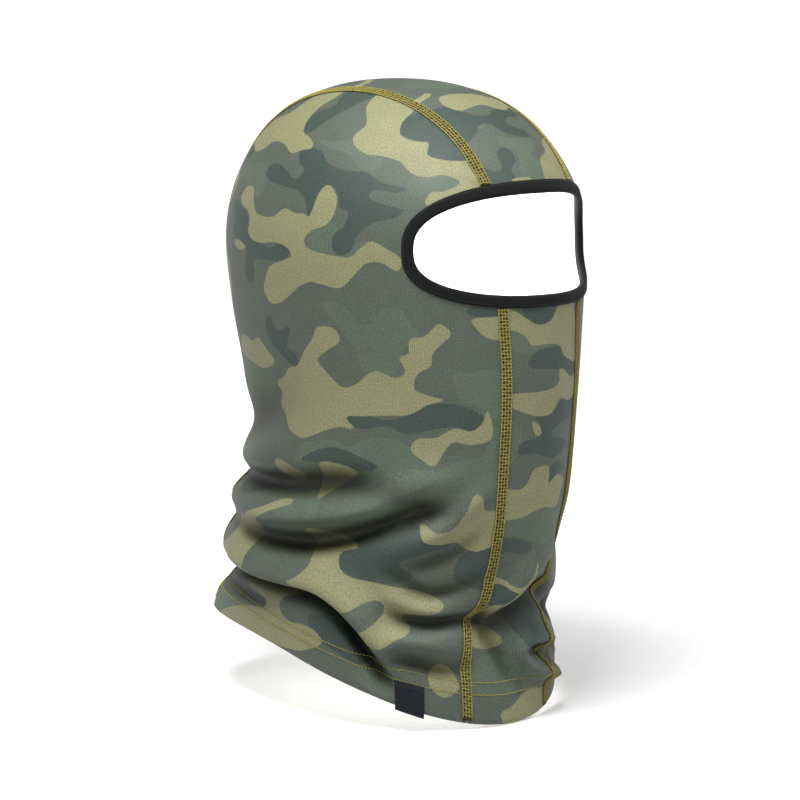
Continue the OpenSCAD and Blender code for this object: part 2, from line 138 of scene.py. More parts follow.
def arc_length(points):
    """Length along a line of points, from 0 at the first of them."""
    return np.concatenate([[0], np.cumsum(np.linalg.norm(np.diff(points, axis=0), axis=1))])


def dome_out(p):
    """Outward direction on the dome: the gradient of its equation."""
    level = np.clip(p[..., 2], 0, CROWN)
    y = p[..., 1] - CROWN_LEAN * (level / CROWN) ** 2
    reach = np.where(y < 0, HEAD_FRONT, HEAD_BACK)
    flat = np.maximum(1 - (level / CROWN) ** 2, 1e-4)
    rise = flat ** (2 / DOME_POWER - 1) * 4 / DOME_POWER * level / CROWN**2
    lean = 4 * y * CROWN_LEAN * level / (reach * CROWN) ** 2
    return unit(np.stack([2 * p[..., 0] / HEAD_HALF**2, 2 * y / reach**2, rise - lean], -1))


def steps_out(place, phi, level):
    """Outward direction from two small steps on the surface: round, then up, crossed."""
    round_step = place(phi + ROUND_STEP, level) - place(phi - ROUND_STEP, level)
    up_step = place(phi, level + UP_STEP) - place(phi, level - UP_STEP)
    return unit(np.cross(round_step, up_step))


print("rings:", len(RINGS))

# %% [markdown]
# ## Folds
# The neck is longer than the throat it covers, so the knit sinks into soft rolls. A fold could be
# simulated, but these lie in known places, so each one is a line drawn on the cloth. Cloth near
# the line is pushed out (or in) by a bell curve and may also sag, which makes a roll overhang.

# %% Lines drawn on the cloth
RIGHT, LEFT = -1, 1
# millimetres of cloth to a degree round the head, when distance to a fold is measured
MM_PER_DEGREE = 1.5
# a fold is felt this many of its widths away
FOLD_REACH = 2.6
# no fold lies above the first level; above the second the dome's own slope serves
FOLDED_BELOW, SLOPED_BELOW = 60, 30


def smooth_line(points, closed=False, steps=6):
    """Curve through the points: each stretch is a cubic whose slopes come from the neighbours."""
    p = np.asarray(points, float)
    if closed:
        before, start, stop, after = (np.roll(p, k, axis=0) for k in (1, 0, -1, -2))
    else:
        padded = np.vstack([2 * p[0] - p[1], p, 2 * p[-1] - p[-2]])
        before, start, stop, after = padded[:-3], padded[1:-2], padded[2:-1], padded[3:]
    t = (np.arange(steps) / steps)[None, :, None]
    a, b, c, d = (q[:, None, :] for q in (before, start, stop, after))
    curve = 0.5 * (2 * b + (c - a) * t + (2 * a - 5 * b + 4 * c - d) * t**2
                   + (3 * b - a - 3 * c + d) * t**3)
    curve = curve.reshape(-1, p.shape[1])
    return curve if closed else np.vstack([curve, p[-1:]])


def nearest(u, v, line):
    """Distance from each point to a line of stretches, the nearest stretch and the share of it."""
    a, b = line[:-1, :2], line[1:, :2]
    du, dv = u[:, None] - a[:, 0], v[:, None] - a[:, 1]
    run = b - a
    t = np.clip((du * run[:, 0] + dv * run[:, 1]) / np.maximum((run**2).sum(1), 1e-9), 0, 1)
    gap = np.hypot(du - t * run[:, 0], dv - t * run[:, 1])
    k = gap.argmin(1)
    rows = np.arange(len(u))
    return gap[rows, k], k, t[rows, k]


# side, line of (degrees from the face, level, strength), width, push out, sag
FOLDS = [
    # the hood's lower bulge, and the broad hollow under it that fades towards the cheek
    (RIGHT, [(92, -92, 0), (110, -102, 0.7), (130, -108, 0.45), (155, -110, 0.5), (180, -110, 0.5)],
              10, 4.5, 3),
    (RIGHT, [(40, -118, 0.1), (50, -115, 0.5), (62, -112, 0.9), (80, -114, 1.1), (98, -119, 1.2),
              (118, -122, 1.1), (140, -125, 0.7), (180, -124, 0.6)], 6.5, -6.5, 0),
    # bright roll that falls from the cheek to the back
    (RIGHT, [(34, -104, 0.2), (46, -107, 0.7), (60, -114, 1), (76, -123, 1.1), (95, -130, 1.1),
              (112, -136, 0.9), (128, -138, 0.5), (150, -140, 0.6), (180, -139, 0.6)], 6, 6, 3.5),
    # shade under the back of the head
    (RIGHT, [(96, -74, 0.2), (110, -84, 0.8), (126, -92, 1), (140, -94, 1), (158, -95, 1),
              (180, -95, 0.6)], 15, -4.6, 0),
    # second hollow
    (RIGHT, [(34, -119, 0.2), (44, -121, 0.7), (55, -127, 1), (70, -136, 1.1), (92, -146, 1.2),
              (112, -151, 0.8), (128, -153, 0.3), (145, -154, 0.3), (180, -153, 0.4)], 5.2, -7, 0),
    # short ridge and hollow beside the face seam
    (RIGHT, [(24, -110, 0.4), (32, -119, 1), (41, -129, 1), (52, -137, 0.7), (62, -142, 0)],
              5, 3.2, 1),
    (RIGHT, [(22, -128, 0.2), (32, -137, 1), (42, -143, 1), (52, -147, 0.2)], 4, -3.0, 0),
    (RIGHT, [(20, -147, 0.4), (31, -153, 1), (38, -155, 1.1), (44, -154, 1.1), (52, -150, 0.6),
              (60, -149, 0)], 3.4, -3.4, 0),
    (RIGHT, [(24, -158, 0.2), (34, -160.5, 1), (44, -160, 1), (54, -158, 0.4)], 3.2, 2.6, 1.5),
    # the big roll that hangs over the hem band, and the deep crease behind its lip
    (RIGHT, [(52, -186, 0.2), (56, -177, 0.8), (62, -168, 1.1), (72, -160, 1.1), (84, -158, 1),
              (103, -162, 1.1), (120, -165, 0.8), (134, -168, 0.35), (155, -169, 0.35),
              (180, -168, 0.4)], 7.5, 7.5, 5.5),
    (RIGHT, [(48, -197, 0.2), (54, -193, 0.8), (60, -186, 1.2), (66, -179, 1.3), (73, -171, 1.3),
              (82, -167.5, 1.2), (95, -169, 1.2), (109, -173, 1.2), (128, -177, 1.2),
              (150, -181, 1.2), (180, -183, 0.8)], 4.6, -7.0, 0),
    # the hem band flares out below a last hollow at the back
    (RIGHT, [(100, -183, 0.1), (114, -185, 0.7), (128, -186, 1), (150, -188, 1), (180, -188, 0.8)],
              5, -4.2, 0),
    (RIGHT, [(100, -203, 0.1), (118, -204, 0.8), (130, -204, 1), (155, -204, 1), (180, -204, 0.8)],
              7.5, 1.6, 0),
    # the crease and the rounded bulge over the label
    (RIGHT, [(16, -164, 0.8), (28, -165, 1.1), (37, -167, 1.2), (46, -168, 1.1), (54, -166, 0.3)],
              3.2, -4.6, 0),
    (RIGHT, [(26, -175, 0.5), (34, -174, 1), (44, -174, 1.1), (52, -176, 0.7)], 4.6, 4.8, 2),
    (RIGHT, [(20, -183, 0.2), (32, -184.5, 1), (44, -184, 1.1), (53, -183, 0.5)], 3.6, -3.4, 0),
    # throat: a lip that falls from the far side, a deep hollow under it and a hooked ridge
    (LEFT, [(-10, -158, 0.3), (-5, -151, 0.9), (1, -143, 1.1), (12, -139, 0.7), (24, -134, 0.2),
             (40, -130, 0)], 6, 5, 3),
    (LEFT, [(-18, -166, 0.5), (-8, -165, 1), (0, -161, 1.2), (8, -157, 1.2), (18, -158, 1.2),
             (30, -166, 1.2), (46, -174, 1.1)], 5.5, -7, 0),
    (LEFT, [(48, -188, 0.1), (34, -184, 0.35), (20, -176, 0.9), (9, -172, 1.1), (2, -174, 1.1),
             (3, -180, 1), (14, -186, 1), (30, -192, 0.9)], 3.8, 6, 2.5),
    (LEFT, [(14, -140, 0.4), (28, -138, 1), (50, -138, 0.8), (70, -144, 0.3)], 12, -4, 0),
    (LEFT, [(10, -178, 0.6), (18, -180, 1.1), (28, -184, 1.2), (42, -187, 0.8)], 3.8, -5, 0),
    (LEFT, [(-14, -172, 0.7), (-8, -178, 1), (-4, -184, 0.8), (2, -190, 0.3)], 4, -3.4, 0),
    # the wearer's left side: the same kind of rolls, fallen differently
    (LEFT, [(60, -100, 0), (90, -106, 0.8), (120, -109, 1), (150, -110, 1), (178, -110, 0.2)],
             10, 4.2, 2.5),
    (LEFT, [(44, -108, 0.4), (70, -117, 1), (100, -124, 1.1), (135, -127, 1.1), (176, -124, 0.2)],
             5.5, -5, 0),
    (LEFT, [(44, -122, 0), (66, -131, 0.3), (95, -138, 1), (130, -141, 1), (176, -139, 0.2)],
             6.5, 5.4, 3),
    (LEFT, [(50, -142, 0.3), (75, -147, 1), (110, -152, 1.1), (145, -154, 1.1), (176, -153, 0.2)],
             5, -4.8, 0),
    (LEFT, [(50, -158, 0), (75, -162, 0.3), (98, -163, 1), (112, -163, 1.1), (150, -168, 1.2),
             (176, -168, 0.2)], 7.5, 7, 5),
    (LEFT, [(50, -177, 0.4), (80, -174, 1), (115, -176, 1.1), (150, -181, 1.2), (176, -183, 0.2)],
             4.8, -6, 0),
    # small puckers where the crown seams meet the binding
    (RIGHT, [(24, 34, 1), (30, 38, 0.8), (36, 41, 0)], 2.0, 0.9, 0),
    (RIGHT, [(24.5, 38, 1), (29, 44, 0.7), (33, 49, 0)], 1.8, -0.8, 0),
]


def fold_shift(phi, level):
    """Push and sag of every fold: strength times exp(-(distance / width) squared), added up."""
    push, sag = np.zeros(phi.shape), np.zeros(phi.shape)
    for side, path, wide, high, drop in FOLDS:
        line = smooth_line([(side * a, lv, s) for a, lv, s in path])
        middle = line[:, 0].mean()
        line[:, 0] = (line[:, 0] - middle) * MM_PER_DEGREE
        u = ((np.degrees(phi) - middle + 180) % 360 - 180) * MM_PER_DEGREE
        reach = FOLD_REACH * wide
        near = ((u > line[:, 0].min() - reach) & (u < line[:, 0].max() + reach)
                & (level > line[:, 1].min() - reach) & (level < line[:, 1].max() + reach))
        if near.any():
            gap, k, t = nearest(u[near], level[near], line)
            strength = line[k, 2] * (1 - t) + line[k + 1, 2] * t
            bell = strength * np.exp(-((gap / wide) ** 2))
            push[near] += high * bell
            sag[near] += drop * bell
    return push, sag


def face(phi, level):
    """Outer face of the cloth: the smooth shape, pushed outwards and let down by the folds."""
    phi, level = np.broadcast_arrays(np.asarray(phi, float), np.asarray(level, float))
    p = smooth_shape(phi, level)
    low = level < FOLDED_BELOW
    if low.any():
        q_phi, q_level = phi[low], level[low]
        push, sag = fold_shift(q_phi, q_level)
        out = np.where((q_level > 0)[:, None], dome_out(p[low]),
                       steps_out(smooth_shape, q_phi, q_level))
        p[low] += push[:, None] * out
        p[low, 2] -= sag
    return p


def cloth(phi, level, off=0.0):
    """Point at a height off the cloth's outer face, measured square to the folded surface."""
    phi, level, off = np.broadcast_arrays(*(np.asarray(q, float) for q in (phi, level, off)))
    p = face(phi, level)
    if not np.any(off):
        return p
    out = dome_out(smooth_shape(phi, level))
    low = level < SLOPED_BELOW
    if low.any():
        out[low] = steps_out(face, phi[low], level[low])
    return p + off[..., None] * out


print("folds:", len(FOLDS))

# %% [markdown]
# ## Where the seams run
# The crown strip is named by x across it and a turn from 0 at the brow, over the top at 90, to
# 180 at the back. The eye opening is a squared-off oval drawn on the cloth.

# %% Seam lines and the eye opening
# gap between two panels at a seam
GAP = 0.3
CROWN_BROW, CROWN_TOP, CROWN_NAPE = 29.5, 32.0, 34.0
EYE_WIDTH = 121
EYE_ANGLE = np.arcsin(EYE_WIDTH / (2 * HEAD_HALF))
EYE_LEVEL, EYE_UP, EYE_DOWN, ROUND_UP, ROUND_DOWN = 2.5, 26.5, 23.5, 2.4, 2.8
MM_PER_RADIAN = 0.94 * HEAD_FRONT
# how far the cloth's edge and the binding's edge lie from the edge of the opening
EDGE, BINDING = 1.4, 5.5


def phi_at(x, level):
    """Angle round the head where the cloth is x millimetres from the middle."""
    return np.arcsin(np.clip(x / np.maximum(ring(np.asarray(level, float))[0], 1e-6), -1, 1))


def top_level(x):
    """Highest level of the dome at a distance x from the middle."""
    return CROWN * np.sqrt(np.maximum(1 - (np.abs(x) / HEAD_HALF) ** DOME_POWER, 0))


def strip_place(x, turn):
    """Angle and level of a point of the crown strip, from x and the turn in radians."""
    level = top_level(x) * np.sin(turn)
    phi = phi_at(x, level)
    return np.where(turn < np.pi / 2, phi, np.pi - phi), level


def power(v, n):
    """A signed power, so that a squared-off oval closes on both sides."""
    return np.sign(v) * np.abs(v) ** n


def eye_outline(turn, margin):
    """Angle and level of the opening's edge: a superellipse grown outwards by a margin."""
    n = np.where(np.sin(turn) > 0, ROUND_UP, ROUND_DOWN)
    half = np.where(np.sin(turn) > 0, EYE_UP, EYE_DOWN)
    return ((EYE_ANGLE + margin / MM_PER_RADIAN) * power(np.cos(turn), 2 / n),
            EYE_LEVEL + (half + margin) * power(np.sin(turn), 2 / n))


def eye_edge(phi, margin, way):
    """Level of the opening's upper (way 1) or lower (way -1) edge at an angle round the head."""
    n = ROUND_UP if way > 0 else ROUND_DOWN
    half = (EYE_UP if way > 0 else EYE_DOWN) + margin
    share = np.minimum(np.abs(phi) / (EYE_ANGLE + margin / MM_PER_RADIAN), 1)
    return EYE_LEVEL + way * half * (1 - share**n) ** (1 / n)


def brow_level(x, margin):
    """Where a line up the strip at x leaves the opening, found by a few short steps."""
    level = np.full(np.shape(x), EYE_LEVEL + EYE_UP)
    for _ in range(4):
        level = eye_edge(phi_at(np.abs(x), level), margin, 1)
    return level


FACE_SEAM = {side: smooth_line(points)[::-1] for side, points in {
    RIGHT: [(-20, 27.2), (-51, 24.6), (-75, 23.2), (-105, 22.3), (-130, 21), (-154, 21.3),
            (-166, 27), (-180, 28.6), (-202, 28.6), (-215, 28.6)],
    LEFT: [(-20, 27.2), (-51, 28), (-75, 29), (-105, 29), (-130, 28), (-154, 27),
           (-166, 27), (-180, 27), (-202, 27), (-215, 27)],
}.items()}


def face_half(level, side):
    """Distance of a face seam from the middle at a level, along its drawn line."""
    line = FACE_SEAM[side]
    return np.interp(level, line[:, 0], line[:, 1])


CHEEK = {}
for side in (RIGHT, LEFT):
    level = EYE_LEVEL - EYE_DOWN
    for _ in range(5):
        level = float(eye_edge(phi_at(face_half(level, side), level), EDGE, -1))
    CHEEK[side] = level
BROW = float(brow_level(CROWN_BROW, EDGE))
SIDE_TOP = float(top_level(CROWN_TOP))
BROW_TURN = np.arcsin(BROW / SIDE_TOP)


def crown_half(turn):
    """Half width of the crown strip: the top's, eased to the brow's or nape's by cos squared."""
    end = np.where(turn < np.pi / 2, CROWN_BROW, CROWN_NAPE)
    most = np.where(turn < np.pi / 2, np.cos(BROW_TURN) ** 2, 1)
    return CROWN_TOP + (end - CROWN_TOP) * np.cos(turn) ** 2 / most


print("brow level", round(BROW, 1), "cheek levels", {k: round(v, 1) for k, v in CHEEK.items()})

# %% [markdown]
# ## From arrays to a mesh
# Every panel is one grid of points on its printed face and a second grid on its back, closed
# round the edges.

# %% Mesh helpers
def add_object(name, data):
    """Object that holds some data, linked to the scene."""
    made = bpy.data.objects.new(name, data)
    bpy.context.scene.collection.objects.link(made)
    return made


def place_mesh(name, points, faces, materials=(), face_material=None, values=None):
    """Mesh from an array of points in millimetres and an array of faces, at the origin."""
    mesh = bpy.data.meshes.new(name)
    points = np.asarray(points, float).reshape(-1, 3) * MM
    mesh.vertices.add(len(points))
    mesh.vertices.foreach_set("co", points.ravel())
    sides = faces.shape[1]
    mesh.loops.add(faces.size)
    mesh.loops.foreach_set("vertex_index", faces.ravel().astype(np.int32))
    mesh.polygons.add(len(faces))
    mesh.polygons.foreach_set("loop_start", np.arange(0, faces.size, sides, dtype=np.int32))
    mesh.polygons.foreach_set("loop_total", np.full(len(faces), sides, dtype=np.int32))
    mesh.update(calc_edges=True)
    for key, value in (values or {}).items():
        value = np.asarray(value, np.float32)
        kind = "FLOAT_VECTOR" if value.ndim == 2 else "FLOAT"
        layer = mesh.attributes.new(key, kind, "POINT")
        layer.data.foreach_set("vector" if value.ndim == 2 else "value", value.ravel())
    for material in materials:
        mesh.materials.append(material)
    if face_material is not None:
        mesh.polygons.foreach_set("material_index", np.asarray(face_material, np.int32))
    mesh.polygons.foreach_set("use_smooth", np.ones(len(faces), bool))
    mesh.validate()
    return add_object(name, mesh)


def stand_for(piece, node):
    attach(piece, "root")
    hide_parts(node)


def outward_faces(points, faces):
    """Faces turned so that the closed shape they make has a positive volume."""
    p = points.reshape(-1, 3)
    a, b, c, d = (p[faces[:, k]] for k in range(4))
    volume = (a * np.cross(b, c)).sum() + (a * np.cross(c, d)).sum()
    return faces if volume > 0 else faces[:, ::-1]


def grid_faces(rows, cols, first=0):
    """Four-sided faces of a grid of points, whose first point has the given number."""
    j = np.arange(rows - 1)[:, None]
    i = np.arange(cols - 1)[None, :]
    a = j * cols + i
    return first + np.stack([a, a + 1, a + cols + 1, a + cols], -1).reshape(-1, 4)


def back_to_back(outer, inner):
    """Points and faces of two grids, with strips that close their four edges."""
    rows, cols = outer.shape[:2]
    count = rows * cols
    index = np.arange(count).reshape(rows, cols)
    edges = (index[0], index[:, -1], index[-1][::-1], index[:, 0][::-1])
    rims = [np.stack([e[1:], e[:-1], e[:-1] + count, e[1:] + count], -1) for e in edges]
    back = grid_faces(rows, cols, count)[:, ::-1]
    points = np.concatenate([outer.reshape(-1, 3), inner.reshape(-1, 3)])
    return points, outward_faces(points, np.concatenate([grid_faces(rows, cols), back, *rims]))


def tubes(paths, outs, radius, sides=6, flat=1.0):
    """Round threads: a ring of 4 or 6 points carried along each path, capped at both ends.

    paths and outs are (threads, steps, 3); a ring is centre + radius * (cos * side + sin * out)."""
    along = unit(np.gradient(paths, axis=1))
    side = unit(np.cross(along, outs))
    out = np.cross(side, along)
    turn = -np.arange(sides) / sides * 2 * np.pi
    loop = (np.cos(turn)[:, None] * side[:, :, None, :]
            + flat * np.sin(turn)[:, None] * out[:, :, None, :])
    points = paths[:, :, None, :] + radius * loop
    threads, steps = paths.shape[:2]
    t = np.arange(threads)[:, None, None] * steps * sides
    j = np.arange(steps - 1)[None, :, None] * sides
    i = np.arange(sides)[None, None, :]
    k = (i + 1) % sides
    walls = np.stack([t + j + i, t + j + k, t + j + sides + k, t + j + sides + i], -1)
    faces = [walls.reshape(-1, 4)]
    first = np.arange(threads) * steps * sides
    for start, order in ((first, 1), (first + (steps - 1) * sides, -1)):
        cap = (start[:, None] + np.arange(sides))[:, ::-order]
        faces.append(cap[:, :4])
        if sides > 4:
            faces.append(cap[:, [0, 3, 4, 5]])
    return points.reshape(-1, 3), np.concatenate(faces)


def gather(parts):
    """One array of points and one of faces from several parts, each numbered on from the last."""
    first = np.cumsum([0] + [len(points) for points, _ in parts[:-1]])
    return (np.concatenate([points for points, _ in parts]),
            np.concatenate([faces + n for (_, faces), n in zip(parts, first)]))


print("mesh helpers ready")

# %% [markdown]
# ## The printed knit
# The cloth is a brushed knit with a four-colour woodland print: a dull green ground, with sage,
# slate and khaki patches that have soft corners and sharp edges. A noise texture gives islands of
# the wrong shape, so each patch is an outline of a few points. The mesh stores how far every point
# lies inside the nearest patch of each colour, and the material paints where that is above zero.

# %% Small helpers for node materials
def new_material(name):
    """An empty node material with a Principled shader, and short ways to add and join nodes."""
    material = bpy.data.materials.new(name)
    material.use_nodes = True
    tree = material.node_tree

    def put(value, socket):
        if isinstance(value, bpy.types.NodeSocket):
            tree.links.new(value, socket)
        elif value is not None:
            socket.default_value = value

    def node(kind, inputs, **settings):
        """Outputs of a new node, after its settings and inputs are given."""
        made = tree.nodes.new(kind)
        for key, value in settings.items():
            setattr(made, key, value)
        for key, value in inputs.items():
            put(value, made.inputs[key])
        return made.outputs

    def maths(operation, a, b=None):
        return node("ShaderNodeMath", {0: a, 1: b}, operation=operation)[0]

    def add(a, b):
        return maths("ADD", a, b)

    def times(a, b):
        return maths("MULTIPLY", a, b)

    def minus(a, b):
        return maths("SUBTRACT", a, b)

    def mix(share, a, b, blend="MIX"):
        return node("ShaderNodeMix", {0: share, 6: a, 7: b}, data_type="RGBA", blend_type=blend)[2]

    def noise(place, scale, detail=2.0, rough=0.5):
        return node("ShaderNodeTexNoise", {"Vector": place, "Scale": scale, "Detail": detail,
                                           "Roughness": rough})["Fac"]

    def bump(height, strength, distance, under=None):
        return node("ShaderNodeBump", {"Strength": strength, "Distance": distance,
                                       "Height": height, "Normal": under})["Normal"]

    def read(name, kind="Fac"):
        return node("ShaderNodeAttribute", {}, attribute_name=name)[kind]

    def ramp(value, low, high):
        return node("ShaderNodeMapRange", {0: value, 1: low, 2: high}, clamp=True)[0]

    def axes(place):
        return node("ShaderNodeSeparateXYZ", {0: place})

    def look(**inputs):
        """The material, after inputs of its shader are given, an underscore for each space."""
        for key, value in inputs.items():
            put(value, tree.nodes["Principled BSDF"].inputs[key.replace("_", " ")])
        return material

    tools = (node, maths, add, times, minus, mix, noise, bump, read, ramp, axes, look)
    return SimpleNamespace(**{tool.__name__: tool for tool in tools})


def tone(red, green, blue):
    """Linear colour from display values of 0 to 255."""
    c = np.array([red, green, blue]) / 255
    linear = np.where(c <= 0.04045, c / 12.92, ((c + 0.055) / 1.055) ** 2.4)
    return (*linear.tolist(), 1.0)


KHAKI, SAGE = tone(114, 114, 84), tone(72, 84, 70)
SLATE, DULL = tone(49, 61, 56), tone(69, 76, 67)
print("print colours:", [tuple(round(v, 3) for v in c[:3]) for c in (KHAKI, SAGE, SLATE, DULL)])

# %% [markdown]
# The knit itself is a column of small V stitches, just under a millimetre wide. The V comes
# from the two cloth directions stored on the mesh: a sine down the column that is delayed towards
# the column's edges. It drives a fine bump and a small change of shade.

# %% Knit face and fleece back
WALE, COURSE = 0.95, 0.8


def knit_height(m):
    """Height of V stitches: a sine along the cloth, delayed away from the wale's middle."""
    across, along = m.axes(m.read("weave", "Vector"))[:2]
    column = m.maths("FRACT", m.maths("DIVIDE", across, WALE))
    column = m.maths("ABSOLUTE", m.minus(column, 0.5))
    delayed = m.add(m.maths("DIVIDE", along, COURSE), m.times(column, 1.3))
    wave = m.maths("SINE", m.times(delayed, 2 * np.pi))
    rib = m.maths("COSINE", m.times(column, 2 * np.pi))
    return m.add(m.times(wave, 0.3), m.times(rib, -0.5))


def printed_cloth():
    """Khaki over slate over sage over dull green, each where its stored depth is above zero.

    The shade is 0.65 + 0.22 * mottle + 0.46 * speck + 0.26 * stitch, with painted shade in deep
    folds."""
    m = new_material("printed_cloth")
    height = knit_height(m)
    place = m.read("weave", "Vector")
    ragged = m.times(m.minus(m.noise(place, 1.3), 0.5), 0.5)
    shade = DULL
    layers = (("sage", 0.25, SAGE), ("slate", 0.12, SLATE), ("khaki", 0.12, KHAKI))
    for layer, soft, colour in layers:
        shade = m.mix(m.ramp(m.add(m.read(layer), ragged), -soft, soft), shade, colour)
    grain = m.noise(place, 1.15, 3, 0.65)
    speck = m.ramp(grain, 0.36, 0.64)
    value = m.add(m.times(m.noise(place, 0.12, 4), 0.22), m.times(speck, 0.46))
    value = m.add(m.add(value, m.times(height, 0.26)), 0.65)
    # painted shade: a deep fold darkens the cloth by up to 80%, and its blue a little more, for a
    # warm shadow
    value = m.times(value, m.minus(1.0, m.times(m.read("hollow"), 0.8)))
    blue_in_fold_shade = m.times(value, m.minus(1.0, m.times(m.read("hollow"), 0.25)))
    grey = m.node("ShaderNodeCombineColor", {0: value, 1: value, 2: blue_in_fold_shade})[0]
    return m.look(Base_Color=m.mix(1.0, shade, grey, "MULTIPLY"),
                  Roughness=m.add(m.times(grain, 0.2), 0.46), Sheen_Weight=0.02,
                  Sheen_Roughness=0.45, Specular_IOR_Level=0.28,
                  Normal=m.bump(grain, 0.35, 0.0002, m.bump(height, 0.5, 0.00012)))


def fleece():
    """Off-white brushed back: short fibres from two noises, soft and matt."""
    m = new_material("fleece_back")
    place = m.read("weave", "Vector")
    nap = m.noise(place, 1.1, 5, 0.7)
    clumps = m.bump(m.noise(place, 0.25, 3), 0.6, 0.001)
    return m.look(Base_Color=m.mix(nap, tone(214, 213, 208), tone(240, 239, 235)),
                  Roughness=m.add(m.times(nap, 0.15), 0.82), Sheen_Weight=0.5,
                  Specular_IOR_Level=0.2, Normal=m.bump(nap, 0.8, 0.0006, clumps))


PRINTED, FLEECE = printed_cloth(), fleece()
print("cloth materials:", PRINTED.name, FLEECE.name)

# %% [markdown]
# ## Patches of the print
# Each outline is a ring of (across, along) points in millimetres on the panel before it is folded.
# Across is measured from the ear towards the back on a side panel, and from the middle on a strip.

